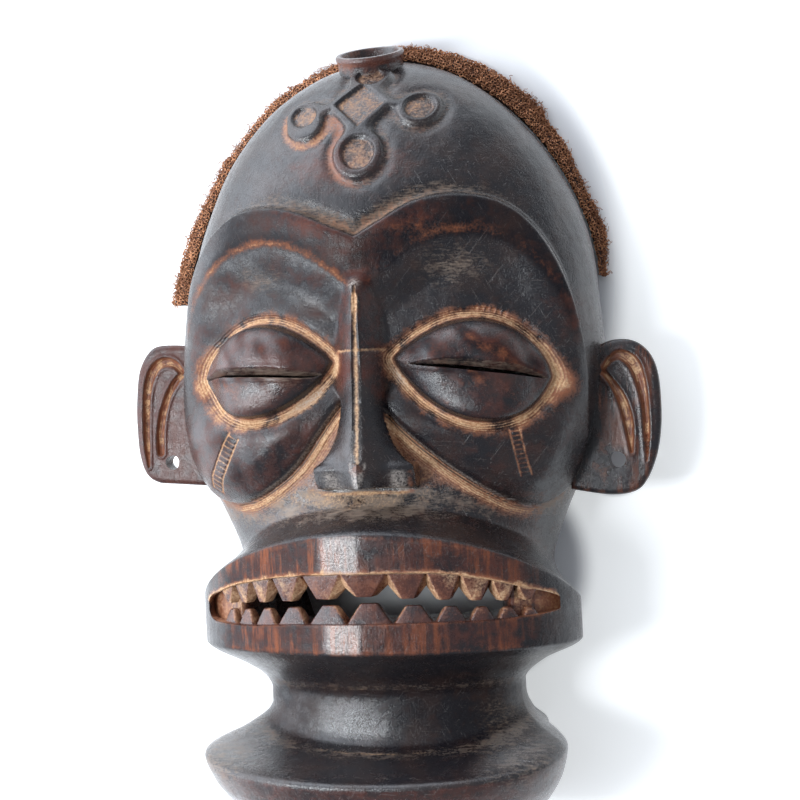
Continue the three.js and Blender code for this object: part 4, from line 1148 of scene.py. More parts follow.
def brow_finish(f):
    """Dust in the furrow over the brow, and the red band that ends in a rubbed crease over the sockets."""
    x, y, plate, socket = f["x"], f["y"], f["plate"], f["socket"]
    furrow = smooth(-9, -1.5, plate) * smooth(0.4, -0.6, plate) * smooth(60, 72, y)
    yield furrow * bell(x, 50), {"dust": 0.8}
    yield furrow * bell(x, 40), {"rust": 0.5}
    yield furrow * bell(x, 34) * smooth(-5, -1, plate), {"tan": 0.25}
    yield furrow * bell(x, 30), {"dull": 1}
    # A painted highlight along the plate's edge at the temples.
    yield bell(plate, 0.5) * smooth(80, 70, y) * smooth(58, 68, np.abs(x)), {"pale": 0.7}
    band = smooth(0, 1, plate) * smooth(1.5, -1, socket) * smooth(20, 40, y)
    beside_v = spots(f, (1, (-15, 77), (15, 6)), (0.6, (18, 75), (16, 6)))
    yield band, {"red": 0.12}
    yield band * beside_v, {"red": 0.5, "rust": 0.3}
    yield band * spots(f, (1, (28, 71), (22, 3))), {"rust": 0.3}
    # A painted shade in the dip between the brows.
    yield band * spots(f, (1, (0, 61), (6, 5))), {"soot": 0.5}
    yield band * np.where(x < 0, 1.0, 0.6) * smooth(-66, -50, x), {"dull": 0.75}
    crease = bell(socket + 0.6, 2.3) * smooth(25, 45, y) * smooth(1, 4, np.abs(x))
    yield crease * np.where(x < 0, 0.42, 0.3), {"rust": 1}
    yield crease * smooth(0, 2, plate), {"dull": 0.55}
    yield bell(socket + 0.3, 0.7) * smooth(45, 55, y) * smooth(2, 6, -x), {"tan": 0.34}
    yield bell(socket + 0.2, 1.3) * smooth(40, 55, y) * (x < 0), {"rust": 0.3}


def plate_finish(f):
    """The face plate, redder than the dome, and the sheen round its edge."""
    x, y, plate, socket = f["x"], f["y"], f["plate"], f["socket"]
    on = smooth(0, 2, plate)
    off_eye = smooth(-1, -4, f["eye"])
    yield on * smooth(12, -2, y) * np.where(x < 0, 0.42, 0.2), {"red": 1}
    yield on * smooth(-3, 1, f["nose"]), {"red": 0.4}
    yield on * (x > 0), {"dull": 0.25}
    yield on * smooth(10, 32, y) * (1.6 * smooth(-56, -70, x) + 1.3 * smooth(55, 68, x)), {"gloss": 1}
    yield smooth(0, 3, plate) * smooth(10, 0, y) * (x < 0) * (0.6 + 0.6 * mottle(f, 13, 92)), {"dull": 0.45}
    left_socket = smooth(0, 4, socket) * off_eye * smooth(6, 12, y) * (x < 0)
    yield left_socket * (1 + mottle(f, 16, 81)), {"dull": 0.15, "red": 0.1}
    yield left_socket, {"dull": 0.32, "red": 0.1}
    yield smooth(0, 3, socket) * off_eye, {"scratch": 0.8}
    yield smooth(50, 70, y), {"scratch": 0.4}
    yield smooth(60, 75, y) * bell(x + 6, 30), {"red": 0.16}
    beside_face = smooth(46, 18, f["z"]) * smooth(0.5, -1, plate)
    yield beside_face * (1 - smooth(78, 98, y) * (x > 0)), {"gloss": 1.3}


def cheek_finish(f):
    """The hollows under the cheeks: a painted shade on the step under the cheeks' edge, a painted highlight
    along that edge, bare wood with the gouge's lines, and red below.
    """
    x, y, plate = f["x"], f["y"], f["plate"]
    off_nose = smooth(0.6, -0.2, f["nose"])
    along = smooth(13, 7, y) * smooth(64, 52, np.abs(x)) * off_nose
    under = smooth(0.2, -0.8, plate) * smooth(-8, -1.5, plate) * along
    yield under, {"tan": 0.38, "rust": 0.9, "cutting": 0.9}
    yield under * bell(plate + 2.9, 0.9), {"tan": 0.5}
    # Painted shade on the step's wall under the cheek's edge, then a painted highlight along the edge.
    yield along * bell(plate + 1.1, 0.45), {"soot": 0.7}
    yield along * bell(plate - 0.2, 0.5), {"pale": 0.6}
    yield np.where((plate < 0) & (plate > -8) & (f["eye"] < -8), plate, 0), {"cut": 1}
    by_nose = smooth(10, 0, y) * smooth(-26, -20, y) * smooth(40, 22, np.abs(x)) * off_nose
    yield smooth(0, -1.5, plate) * by_nose, {"rust": 0.6, "tan": 0.28}
    yield f["tear"], {"rust": 0.9}
    yield f["tear"] * np.where(x < 0, 0.8, 0.4), {"tan": 1}
    yield f["notch"], {"rust": 0.7, "tan": 0.3}


def nose_finish(f):
    """The bare stripe on the nose with a painted shade along its edges, painted highlights on its end and
    wings, which are rubbed orange at their sides, a painted shadow under the wings, and the dry grey wood
    between nose and lip.
    """
    x, y = f["x"], f["y"]
    yield f["joint"], {"tan": 0.7, "rust": 0.5}
    yield smooth(1.2, 0.8, f["stripe"]), {"tan": 0.85}
    yield bell(f["stripe"] - 1.5, 0.6), {"rust": 0.35}
    # A painted shade along both edges of the stripe.
    yield bell(f["stripe"] - 1.5, 0.45), {"soot": 0.9}
    # Painted highlights: a V at the ridge's end and the lower facets of the wings.
    ridge_end = smooth(-22, -20.8, y) * smooth(-10.5, -13, y)
    yield bell(np.abs(x) - 0.28 * (y + 21.8), 0.45) * ridge_end, {"pale": 0.9}
    wings = smooth(-15, -16, y) * smooth(0, 1, f["nose"])
    yield wings * (0.75 * bell(x + 10.5, 4) + 0.9 * bell(x - 12, 3)), {"pale": 1}
    yield wings * (0.7 * bell(x - 16, 1) + 0.5 * bell(x + 16.5, 0.8)), {"rust": 1}
    # A painted shadow line under the wings.
    yield bell(y + 22.6, 0.7) * smooth(19.5, 18.5, np.abs(x)), {"soot": 0.9}
    yield bell(y + 24.2, 0.8) * smooth(19, 17, np.abs(x + 1)), {"rust": 0.5}
    yield bell(y + 24.3, 0.45) * smooth(17, 14, np.abs(x + 1)), {"tan": 0.8}
    over_lip = smooth(-19, -25, y) * smooth(10.3, 10.8, f["line"]) * smooth(0, -1, f["plate"])
    thin = 1 - 0.45 * smooth(5, 25, x) * smooth(60, 45, x)
    dusty = (0.75 + 0.35 * mottle(f, 12, 61, squeeze=1.6)) * smooth(-41, -29, y) * smooth(6, 30, f["z"])
    yield over_lip * dusty * thin, {"dust": 1}
    yield over_lip * spots(f, (1, (-10, -26), (34, 4.5))), {"tan": 0.5}
    yield over_lip, {"red": 0.2, "scratch": 1, "rust": 0.2}


def knot_finish(f):
    """Bare dusty floors inside the forehead knot, and a rubbed halo round it."""
    x, y, knot = f["x"], f["y"], f["knot"]
    yield smooth(-0.4, 0.6, f["knot_eye"]), {"tan": 0.36, "rust": 0.5, "dust": 0.4}
    halo = bell(knot + 1.5, 2.2) * smooth(0.3, -0.4, knot)
    lower_left = halo * smooth(8, -10, x) * smooth(124, 116, y)
    yield halo, {"rust": 0.3, "dust": 0.35}
    yield lower_left, {"rust": 0.55}
    yield lower_left * smooth(-5, -14, x), {"tan": 0.4}
    # A painted highlight along the straps' outer edges.
    yield bell(knot - 0.5, 0.5) * smooth(95, 110, y), {"pale": 0.35}


def lip_finish(f):
    """Streaked red lips, plain at both sides, bare along the upper edge of the mouth."""
    x, y, line = f["x"], f["y"], f["line"]
    low, high = LIP_LINES
    lips = smooth(low - 0.12, low + 0.02, line) * smooth(high + 0.12, high - 0.02, line)
    front = smooth(68, 50, np.abs(x)) * smooth(20, 40, f["z"])
    # The streaks are weaker on the right, a painted shade of the side turned from the light.
    yield lips * front * np.where(x < 0, 1.0, 0.6), {"streak": 1}
    yield lips * front, {"red": 0.5}
    # A painted reflection on the flat facet left of the keel.
    yield lips * smooth(-13.6, -12.6, x) * smooth(0.3, -0.6, x), {"pale": 0.5, "dull": -0.5}
    yield lips * smooth(-13, -16, x) * smooth(-64, -54, x), {"dull": 0.8}
    yield lips * smooth(0, 2, x), {"dull": 0.3}
    yield lips * smooth(56, 66, np.abs(x)), {"gloss": 1.2}
    yield (bell(line - low - 0.06, 0.09) + bell(line - high + 0.06, 0.09)) * front, {"rust": 0.5}
    upper, lower = columns(MOUTH, x)
    edge = lips * (np.abs(x) < MOUTH[-1][0])
    yield bell(y - upper - 0.3, 0.6) * edge, {"tan": 1.1}
    yield bell(y - upper - 0.6, 1.2) * edge, {"rust": 1}
    yield bell(lower - y - 0.4, 0.8) * edge, {"rust": 0.5}


def neck_finish(f):
    """The neck and the collar: dusty creases, a worn collar edge and one polished patch."""
    x, line = f["x"], f["line"]
    neck = smooth(3, 3.6, line) * smooth(5.6, 5, line)
    polished = neck * spots(f, (1, (-12, -112), (12, 8)))
    yield neck, {"dull": 0.6}
    yield polished, {"dull": -1.5, "gloss": 1.6}
    yield smooth(34, 52, np.abs(x)) * smooth(6, 5, line), {"gloss": 2.2}
    yield smooth(6.5, 5.5, line), {"scratch": 0.8}
    yield smooth(2.05, 1.9, line), {"red": 0.45}
    # A painted highlight along the collar's front edge.
    yield bell(line - 2, 0.05), {"pale": 0.2}
    yield bell(line - 3.25, 0.05) * bell(x + 4, 40), {"tan": 0.45}
    yield bell(line - 5.2, 0.04) * bell(x + 12, 22), {"tan": 0.4}
    yield 0.35 * bell(line - 3.2, 0.22) + 0.3 * bell(line - 5.25, 0.2), {"dust": 1}
    yield 0.25 * bell(line - 3.3, 0.12) + 0.2 * bell(line - 5.3, 0.1), {"rust": 1}


def sheet_tones(f):
    """Tones of the carved outside, from the distances to its carving."""
    tone = {name: np.zeros_like(f["x"]) for name in TONES}
    for name, *spot in WEAR_AND_HIGHLIGHT_SPOTS:
        tone[name] += spots(f, spot)
    finishes = (border_finish, lid_finish, brow_finish, plate_finish, cheek_finish, nose_finish,
                knot_finish, lip_finish, neck_finish)
    for finish in finishes:
        for where, amounts in finish(f):
            for name, amount in amounts.items():
                tone[name] += amount * where
    return tone


def wood_parts():
    """The carved mask as one closed mesh, with the tones of its finish on its points."""
    points, fields = outside_sheet()
    block = carved_block(points)
    sources = [toned(np.moveaxis(points, -1, 0), **sheet_tones(fields))]
    ears, holes = [], []
    for shape in EARS:
        ear, hole, tones = ear_parts(shape)
        ears.append(ear)
        holes.append(hole)
        sources.append(tones)
    joined(block, "UNION", [*ears, crown_tube()])
    hollow = hollow_cutter()
    inside = points_of(hollow.data)
    joined(block, "DIFFERENCE", [hollow, mouth_cutter(), crown_bore(), *holes, *map(slit_cutter, EYES)])
    filed, filed_tones = teeth()
    joined(block, "UNION", filed)
    sources += [*filed_tones, *mouth_tones(), *crown_tones(), toned(inside.T, dust=0.35, red=0.6)]
    spread_tones(block.data, sources)
    return block


def spread_tones(mesh, sources):
    """Carries the tones of the source points over to a mesh's points, from the nearest few."""
    places = np.vstack([p for p, _ in sources])
    values = np.vstack([v for _, v in sources])
    tree = KDTree(len(places))
    for i, place in enumerate(places.tolist()):
        tree.insert(place, i)
    tree.balance()
    tones = np.empty((len(mesh.vertices), len(TONES)))
    for k, place in enumerate(points_of(mesh).tolist()):
        found = tree.find_n(place, 3)
        weights = [1 / (d * d + 1e-4) for _, _, d in found]
        tones[k] = np.dot(weights, values[[i for _, i, _ in found]]) / sum(weights)
    tones[:, :6] = np.clip(tones[:, :6], 0, 1.5)
    for name, first in TONE_LAYERS.items():
        layer = mesh.attributes.new(name, "FLOAT_VECTOR", "POINT")
        layer.data.foreach_set("vector", tones[:, first:first + 3].astype(np.float32).ravel())


# Materials

class Nodes:
    """A node tree, built one call at a time. Numbers and colours go straight onto the sockets."""

    def __init__(self, tree):
        self.tree = tree

    def put(self, socket, value):
        if isinstance(value, bpy.types.NodeSocket):
            self.tree.links.new(value, socket)
        elif socket.type == "RGBA":
            socket.default_value = (*value, 1)
        else:
            socket.default_value = value

    def node(self, kind, inputs=(), **settings):
        made = self.tree.nodes.new(kind)
        for name, value in settings.items():
            setattr(made, name, value)
        for key, value in dict(inputs).items():
            self.put(made.inputs[key], value)
        return made

    def pair(self, operation, a, b, clamp=False):
        return self.node("ShaderNodeMath", {0: a, 1: b}, operation=operation, use_clamp=clamp).outputs[0]

    def plus(self, first, *others, clamp=False):
        for k, other in enumerate(others):
            first = self.pair("ADD", first, other, clamp and k == len(others) - 1)
        return first

    def times(self, first, *others):
        for other in others:
            first = self.pair("MULTIPLY", first, other)
        return first

    def span(self, value, start, end, low=0.0, high=1.0):
        """Value taken from one range to another, with soft ends."""
        limits = {"Value": value, "From Min": start, "From Max": end, "To Min": low, "To Max": high}
        return self.node("ShaderNodeMapRange", limits, interpolation_type="SMOOTHSTEP").outputs[0]


class Shader(Nodes):
    """A material's nodes, with the patterns that its finish is made of."""

    def __init__(self, name):
        self.material = bpy.data.materials.new(name)
        self.material.use_nodes = True
        super().__init__(self.material.node_tree)
        self.surface = self.tree.nodes["Principled BSDF"].inputs
        self.places = self.node("ShaderNodeTexCoord").outputs["Object"]

    def finish(self, **values):
        """Sets the surface's sockets. A name's low lines stand for spaces."""
        for name, value in values.items():
            self.put(self.surface[name.replace("_", " ")], value)
        return self.material

    def noise(self, size, detail=3, roughness=0.55, stretch=(1, 1, 1), turn=(0, 0, 0), seed=0.0):
        """Uneven cloud with features of this many millimetres, drawn out along an axis by stretch."""
        scale = tuple(size * MM * s for s in stretch)
        place = {"Vector": self.places, "Location": (seed, seed * 1.7, -seed), "Rotation": turn}
        vector = self.node("ShaderNodeMapping", place | {"Scale": scale}, vector_type="TEXTURE").outputs[0]
        cloud = {"Vector": vector, "Scale": 1.0, "Detail": detail, "Roughness": roughness}
        return self.node("ShaderNodeTexNoise", cloud).outputs["Fac"]

    def mix(self, share, a, b):
        return self.node("ShaderNodeMix", {"Factor": share, 6: a, 7: b}, data_type="RGBA").outputs[2]

    def parts(self, name):
        """The three values of a vector attribute."""
        read = self.node("ShaderNodeAttribute", attribute_name=name)
        return self.node("ShaderNodeSeparateXYZ", {"Vector": read.outputs["Vector"]}).outputs

    def off(self, value, by, middle=0.5):
        """A pattern's swing to both sides of its middle."""
        return self.times(self.pair("SUBTRACT", value, middle), by)

    def bump(self, height, distance, strength):
        sockets = {"Height": height, "Distance": distance, "Strength": strength}
        return self.node("ShaderNodeBump", sockets).outputs[0]


def dark_wood():
    """Old polished wood: near black where handled, red where worn, ochre and dusty in the cuts, with painted
    shade in creases and painted highlights on edges.
    """
    s = Shader("dark wood")
    tan, rust, dust, red, streak, pale, cut, cutting, soot, dull, scratch, gloss = (
        value for layer in TONE_LAYERS for value in s.parts(layer))
    cloud = s.noise(15, 4, 0.6)
    patch = s.noise(4.5, 5, 0.65, seed=3.1)
    fine = s.noise(0.9, 3, 0.7, seed=7.7)
    speck = s.noise(0.42, 2, 0.7, seed=1.9)
    grain = s.noise(0.55, 3, 0.6, stretch=(1, 14, 1), seed=4.4)
    wide_grain = s.noise(2.6, 4, 0.7, stretch=(1, 12, 1), seed=9.2)
    hatch = s.noise(0.6, 3, 0.6, stretch=(7, 1, 2), seed=6.1)
    # The gouge's fine lines run beside the carving's edges.
    lines = s.times(s.pair("SINE", s.plus(s.times(cut, 7.5), s.times(cloud, 14.0)), 0), cutting)

    def broken(tone, limits, laid, *patterns):
        """A tone with uneven edges, and none of it where it isn't laid."""
        return s.times(s.span(s.plus(tone, *patterns), *limits), s.span(tone, *laid))

    reddened = broken(red, (0.05, 0.95), (0.02, 0.4), s.off(patch, 1.5), s.off(cloud, 0.9))
    streaks = s.times(streak, s.span(wide_grain, 0.46, 0.60), s.span(cloud, 0.38, 0.58))
    # Dusty places; on the collar they also paint a sheen, and on the left lower lid a highlight.
    dusty = broken(dust, (0.15, 1.15), (0.02, 0.3), s.off(fine, 0.9), s.off(patch, 0.9), s.off(hatch, 1.6))
    rusted = broken(rust, (0.2, 1.15), (0.02, 0.35), s.off(patch, 1.0, 0.52), s.off(fine, 0.9))
    bare = broken(tan, (0.2, 1.05), (0.04, 0.3), s.off(fine, 1.0), s.off(patch, 0.9), s.times(lines, 0.34))
    # Painted shade in creases, grooves and under steps, and painted highlights on edges and facets.
    sooty = broken(soot, (0.1, 0.8), (0.02, 0.3), s.off(fine, 0.6))
    painted_highlights = s.times(s.span(pale, 0.1, 0.9), s.span(fine, 0.3, 0.65))
    scratches = 0.0
    for way, seed in SCRATCH_WAYS:
        hair = s.noise(0.3, 1, 0.5, stretch=(1, 150, 3), turn=(0, 0, way), seed=seed)
        scratches = s.pair("MAXIMUM", scratches, s.span(hair, 0.70, 0.76))
    scratches = s.times(scratches, s.plus(scratch, 0.15))

    colour = s.mix(s.span(cloud, 0.4, 0.66), WOOD["black"], WOOD["umber"])
    bare_wood = s.mix(s.span(fine, 0.3, 0.7), WOOD["ochre"], WOOD["straw"])
    coats = [
        (s.times(s.span(patch, 0.5, 0.75), 0.45), WOOD["brown"]),
        (reddened, WOOD["red"]),
        (s.times(streaks, 0.85), WOOD["streak"]),
        (s.times(streak, s.span(grain, 0.5, 0.62), 0.5), WOOD["pore"]),
        (s.times(dusty, 0.8), WOOD["dust"]),
        (rusted, WOOD["rust"]),
        (bare, bare_wood),
        # A painted shade, then painted highlights.
        (s.times(sooty, 0.85), WOOD["soot"]),
        (s.times(painted_highlights, 0.7), WOOD["painted_highlight"]),
        (s.times(scratches, 0.3), WOOD["scratch"]),
        (s.times(s.span(speck, 0.66, 0.76), 0.45), WOOD["mote"]),
    ]
    for share, coat in coats:
        colour = s.mix(share, colour, coat)

    polish = s.plus(s.span(patch, 0.32, 0.68, 0.13, 0.25), s.times(s.span(fine, 0.35, 0.7), 0.08))
    rough = s.plus(polish, s.times(dull, 0.12), s.times(bare, 0.45), s.times(dusty, 0.4),
                   s.times(rusted, 0.25), clamp=True)
    worn = s.plus(dull, s.off(patch, 0.8, 0.2))
    height = s.plus(s.times(grain, 0.5), s.times(speck, 0.6), fine, s.times(patch, 1.6),
                    s.times(scratches, -0.5), s.times(lines, 0.6))
    return s.finish(
        Base_Color=colour, Roughness=rough, Specular_IOR_Level=s.span(worn, 0.0, 1.2, 0.72, 0.12),
        Sheen_Weight=s.plus(s.times(gloss, 0.28), 0.015), Sheen_Roughness=0.35,
        Normal=s.bump(height, 0.00018, 0.75),
    )


def fibre(name, dark, light):
    """Plant fibre between two colours."""
    s = Shader(name)
    twist = s.noise(0.8, 3, 0.6, seed=2.2)
    cloud = s.noise(5, 3, 0.6, seed=5.5)
    colour = s.mix(s.span(twist, 0.35, 0.65), dark, light)
    colour = s.mix(s.times(s.span(cloud, 0.42, 0.7), 0.6), colour, dark)
    return s.finish(Base_Color=colour, Roughness=0.75, Normal=s.bump(twist, 0.0002, 0.8))


def studio_floor():
    """A white table that glows a little, a painted light, but not in the ovals under the mask, which paint
    its shadow.
    """
    s = Shader("pale floor")
    off = None
    for x, y, half_x, half_y in PAINTED_SHADOW_OVALS:
        place = {"Vector": s.places, "Location": (x * MM, y * MM, 0)}
        size = {"Scale": (half_x * MM, half_y * MM, 1)}
        scaled = s.node("ShaderNodeMapping", place | size, vector_type="TEXTURE").outputs[0]
        length = s.node("ShaderNodeVectorMath", {0: scaled}, operation="LENGTH").outputs["Value"]
        off = length if off is None else s.pair("MINIMUM", off, length)
    return s.finish(
        Base_Color=TABLE["colour"], Roughness=0.8, Emission_Color=TABLE["glow_colour"],
        Emission_Strength=s.span(off, 0.96, 1.12, 0.0, TABLE["glow"]),
    )


# The netting

def rim_at(turn):
    """A place on the dome's back rim, by an angle counted from +X, and the way out of the rim there."""
    power = DOME_BULGE["across"]

    def place(t):
        left = np.maximum(1 - np.maximum(np.sin(t), 0) ** power, 0) ** (1 / power)
        half = HEAD_RIM * np.where(np.cos(t) < 0, -SIDES[-1][1], SIDES[-1][3])
        return np.stack([half * left, DOME_Y + DOME_RISE * np.sin(t)], axis=-1)

    way = place(turn - 0.01) - place(turn + 0.01)
    way /= np.linalg.norm(way, axis=-1, keepdims=True)
    return place(turn), np.stack([-way[..., 1], way[..., 0]], axis=-1)


def netting_place(angles, share):
    """Points of the netting by angle and share of its width from the rim, with its height there."""
    gap, wide = columns(NET_ROWS, angles)
    rim, out = rim_at(np.radians(angles))
    flat = rim + out * (gap + wide * share)[..., None]
    top = NET["thick"] - (NET["thick"] - NET["edge"]) * smooth(0.35, 1, share) - NET["knots"]
    top -= NET["tuck"] * smooth(0.25, 0, share)
    return flat, top, out


def netting_band():
    """The strip under the knots, laid along the rim from one temple to the other."""
    angles = np.linspace(NET_ENDS[0], NET_ENDS[1], 260)
    wobble = 0.05 * waves(angles, angles * 0, angles * 0, 7, 5, seed=NET_SEEDS["strip"])
    rings = []
    for share, on_floor in STRIP_SECTION:
        flat, top, _ = netting_place(angles, share + wobble * (share > 0.5))
        rings.append(np.column_stack([flat, np.full(len(angles), 0.1) if on_floor else top - 0.25]))
    return new_object("knotted_net_strip", skinned("knotted_net_strip", np.stack(rings, axis=1)))


def knot_loop():
    """One small curled knot of the netting."""
    around_ring, around_tube = 8, 4
    turn = np.linspace(0, 2 * PI, around_ring, endpoint=False)[:, None]
    around = np.linspace(0, 2 * PI, around_tube, endpoint=False)
    ring, tube = KNOT_LOOP["ring"], KNOT_LOOP["tube"]
    radius = ring + tube * np.cos(around)
    z = tube * np.sin(around) + KNOT_LOOP["curl"] * np.sin(2 * turn)
    points = np.stack([radius * np.cos(turn), radius * np.sin(turn), z], axis=-1).reshape(-1, 3)
    i, j = np.arange(around_ring)[:, None] * around_tube, np.arange(around_tube)
    ahead, beside = (i + around_tube) % len(points), (j + 1) % around_tube
    quads = np.stack([i + j, ahead + j, ahead + beside, i + beside], axis=-1)
    return new_object("knot_loop", facing_out(mesh_from("knot_loop", points * MM, quads)))


def knot_places():
    """Where the knots lie: staggered rows along the netting, also down its outer edge."""
    rng = np.random.default_rng(NET_SEEDS["places"])
    places = []
    turn_step = NET_STEP / (HEAD_RIM * 0.01745) / 1.15
    for angle in np.arange(*NET_ENDS, turn_step):
        wide = float(through(NET_ROWS)(angle)[1])
        count = max(int(wide / NET_STEP), 1)
        shares = (np.arange(count + 1) + rng.uniform(-0.25, 0.25)) / count
        # Knots begin about a sixth of the way out, so that the dark strip along the rim paints the shadow
        # gap beside the dome.
        flat, top, out = netting_place(np.full(count + 1, angle), 0.16 + 0.84 * np.clip(shares, 0, 1))
        low = np.column_stack([flat[-1:] - out[-1:] * 0.3, [rng.uniform(0.8, 1.6)]])
        places += [np.column_stack([flat, top + 0.1]), low]
    places = np.vstack(places)
    return places + rng.uniform(-0.28, 0.28, places.shape)


def knots():
    """The knots of the netting, one loop on each of their places."""
    cloud = new_object("net_knots", mesh_from("net_knots", knot_places() * MM))
    tree = bpy.data.node_groups.new("knots", "GeometryNodeTree")
    face = tree.interface
    kinds = {"Geometry": "Geometry", "Knot": "Object", "Seed": "Int", "Fibre": "Material"}
    for name, kind in kinds.items():
        face.new_socket(name, in_out="INPUT", socket_type="NodeSocket" + kind)
    face.new_socket("Geometry", in_out="OUTPUT", socket_type="NodeSocketGeometry")
    g = Nodes(tree)
    given = g.node("NodeGroupInput").outputs
    seed = {"Seed": given["Seed"]}
    turn = g.node("FunctionNodeRandomValue", seed | {"Min": KNOT_TURN[0], "Max": KNOT_TURN[1]},
                  data_type="FLOAT_VECTOR")
    size = g.node("FunctionNodeRandomValue", seed | {2: KNOT_SIZES[0], 3: KNOT_SIZES[1]}, data_type="FLOAT")
    loop = g.node("GeometryNodeObjectInfo", {"Object": given["Knot"]})
    instance = g.node("GeometryNodeInstanceOnPoints", {
        "Points": given["Geometry"], "Instance": loop.outputs["Geometry"], "Rotation": turn.outputs["Value"],
        "Scale": size.outputs[1],
    })
    real = g.node("GeometryNodeRealizeInstances", {"Geometry": instance.outputs["Instances"]})
    plain = {"Geometry": real.outputs["Geometry"], "Material": given["Fibre"]}
    paint = g.node("GeometryNodeSetMaterial", plain)
    g.node("NodeGroupOutput", {"Geometry": paint.outputs["Geometry"]})
    made = cloud.modifiers.new("knots", "NODES")
    made.node_group = tree
    loop_object = knot_loop()
    values = {"Knot": loop_object, "Seed": NET_SEEDS["loops"], "Fibre": FIBRE}
    for socket in face.items_tree:
        if socket.in_out == "INPUT" and socket.name in values:
            made[socket.identifier] = values[socket.name]
    baked(cloud)
    bpy.data.objects.remove(loop_object)
    return cloud


def curled_path(rng, middle, spread, steps):
    """A loose fibre's line, from a place on the netting outwards, and its thickness."""
    angle = float(np.clip(rng.normal(middle, spread), *NET_ENDS))
    share = rng.uniform(0.55, 1.0)
    flat, top, out = netting_place(np.array([angle]), np.array([share]))
    start = np.array([*flat[0], float(top[0])])
    turned = rng.normal(0, 0.7)
    ahead = np.array([*out[0], 0])
    beside = np.array([-ahead[1], ahead[0], 0])
    way = ahead * math.cos(turned) + beside * math.sin(turned)
    side = beside * math.cos(turned) - ahead * math.sin(turned)
    reach, curl = rng.uniform(1.2, 3.2), rng.uniform(0.3, 0.8)
    turns, lift = rng.uniform(0.8, 2.2), rng.uniform(-0.6, 0.9)
    t = np.linspace(0, 1, steps)[:, None]
    bend = t * turns * 2 * PI + rng.uniform(0, 2 * PI)
    path = start + way * reach * t + side * curl * np.sin(bend) * t**0.5
    path = path + np.array([0, 0, 1]) * (lift * t + curl * (np.cos(bend) - np.cos(bend[0])) * t**0.5)
    path[:, 2] = np.maximum(path[:, 2], 0.25)
    return path, rng.uniform(0.09, 0.15)


def thread_points(path, thick):
    """Points round a fibre's line, three to each step."""
    forward = np.gradient(path, axis=0)
    forward /= np.linalg.norm(forward, axis=1, keepdims=True)
    over = np.cross(forward, [0.3, 0.2, 0.93])
    over /= np.linalg.norm(over, axis=1, keepdims=True)
    third = np.cross(forward, over)
    tube = [path + (over * math.cos(a) + third * math.sin(a)) * thick for a in (0, 2.094, 4.189)]
    return np.stack(tube, axis=1).reshape(-1, 3)


def frayed_fibres():
    """Loose curled fibres, most of them where the netting is torn."""
    rng = np.random.default_rng(NET_SEEDS["fibres"])
    steps, sides = 15, 3
    threads = [thread_points(*curled_path(rng, middle, spread, steps))
               for middle, spread, count in FRAYS for _ in range(count)]
    firsts = np.arange(len(threads)) * steps * sides
    ends = firsts + (steps - 1) * sides
    k, j = np.arange(steps - 1)[:, None] * sides, np.arange(sides)
    beside = (j + 1) % sides
    cell = np.stack([k + j, k + beside, k + sides + beside, k + sides + j], axis=-1).reshape(-1, 4)
    quads = (cell + firsts[:, None, None]).reshape(-1, 4)
    caps = np.vstack([firsts[:, None] + [0, 2, 1], ends[:, None] + [0, 1, 2]])
    mesh = mesh_from("frayed_fibres", np.vstack(threads) * MM, quads, caps)
    return new_object("frayed_fibres", facing_out(mesh))


# Stage

def camera():
    """Looks down on the face from a little to the right, turned a little in its own plane."""
    aside, roll = math.radians(CAMERA["aside"]), math.radians(CAMERA["roll"])
    towards = Vector((math.sin(aside), 0, math.cos(aside)))
    right, up = Vector((math.cos(aside), 0, -math.sin(aside))), Vector((0, 1, 0))
    turned_right = right * math.cos(roll) - up * math.sin(roll)
    turned_up = right * math.sin(roll) + up * math.cos(roll)
    lens = bpy.data.cameras.new("camera")
    lens.lens, lens.sensor_width, lens.clip_start = CAMERA["lens"], CAMERA["film"], 0.01
    eye = new_object("camera", lens)
    place = Matrix((turned_right, turned_up, towards)).transposed().to_4x4()
    place.translation = CAMERA["eye"]
    eye.matrix_world = place
    bpy.context.scene.camera = eye


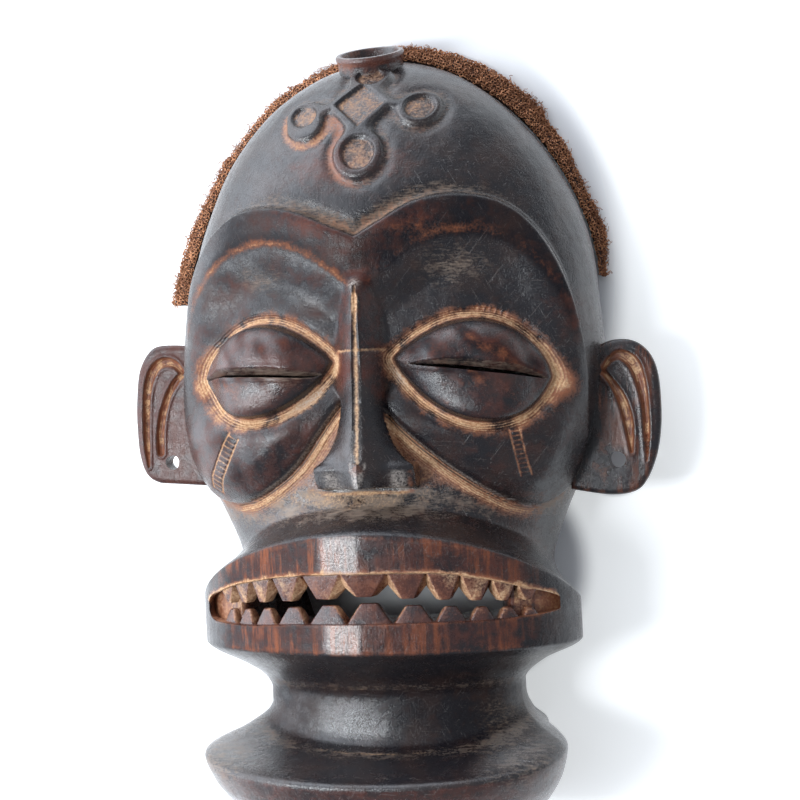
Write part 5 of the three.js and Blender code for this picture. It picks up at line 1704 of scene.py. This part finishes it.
def floor():
    half = FLOOR_HALF
    corners = [(-half, -half, 0), (half, -half, 0), (half, half, 0), (-half, half, 0)]
    made = new_object("floor", mesh_from("floor", corners, [(0, 1, 2, 3)]))
    made.data.materials.append(studio_floor())
    made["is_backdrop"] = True


def soft_light(name, direction, distance, size, watts, colour):
    """A soft box that looks at the middle of the mask from a direction."""
    light = bpy.data.lights.new(name, "AREA")
    light.shape = "RECTANGLE"
    light.size, light.size_y = size
    light.energy, light.color = watts, colour
    obj = new_object(name, light)
    way = Vector(direction).normalized()
    obj.location = Vector((0, 0, 0.05)) + way * distance
    obj.rotation_euler = way.to_track_quat("Z", "Y").to_euler()


def studio():
    """A white studio that is brightest on the left, with a soft box high on that side."""
    world = bpy.data.worlds.new("studio")
    bpy.context.scene.world = world
    world.use_nodes = True
    sky = world.node_tree.nodes["Background"].inputs
    s = Nodes(world.node_tree)
    way = s.node("ShaderNodeTexCoord").outputs["Generated"]
    dot = s.node("ShaderNodeVectorMath", {0: way, 1: BRIGHT_SIDE}, operation="DOT_PRODUCT")
    facing = dot.outputs["Value"]
    up = s.node("ShaderNodeSeparateXYZ", {0: way}).outputs["Z"]
    dim, bright = GLOW
    bright_at_height = s.span(up, *SKY["rise"], bright - dim, SKY["top"] * bright)
    s.put(sky["Strength"], s.plus(s.times(s.span(facing, *SKY["side"]), bright_at_height), dim))
    s.put(sky["Color"], SKY["colour"])
    soft_light(*LEFT_BOX)
    bpy.context.scene.view_settings.view_transform = "Standard"


def finished(obj, material=None):
    """Puts a mesh made in millimetres into metres and hands it to its body."""
    if material is not None:
        obj.data.transform(Matrix.Scale(MM, 4))
        obj.data.materials.clear()
        obj.data.materials.append(material)
    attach(obj, "root")


FIBRE = fibre("plant fibre", *FIBRE_COLOURS)
PAINTED_SHADE_FIBRE = fibre("shaded plant fibre", *PAINTED_SHADE_COLOURS)
camera()
floor()
studio()

mask = wood_parts()
mask.name = mask.data.name = "carved_wooden_mask"
mask.data.shade_smooth()
mask.data.set_sharp_from_angle(angle=math.radians(SHARP_EDGE))
finished(mask, dark_wood())
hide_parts("carved_mask")

strip = netting_band()
strip.data.shade_smooth()
# The strip gets the darker fibre, a painted shade under the knots.
finished(strip, PAINTED_SHADE_FIBRE)
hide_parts("knotted_netting")
on_netting = [knots(), frayed_fibres()]
on_netting[1].data.materials.append(FIBRE)
for piece in on_netting:
    finished(piece)

boxes = {"cad": cad_box, "visual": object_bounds()}
{name: [list(corner) for corner in box] for name, box in boxes.items()}
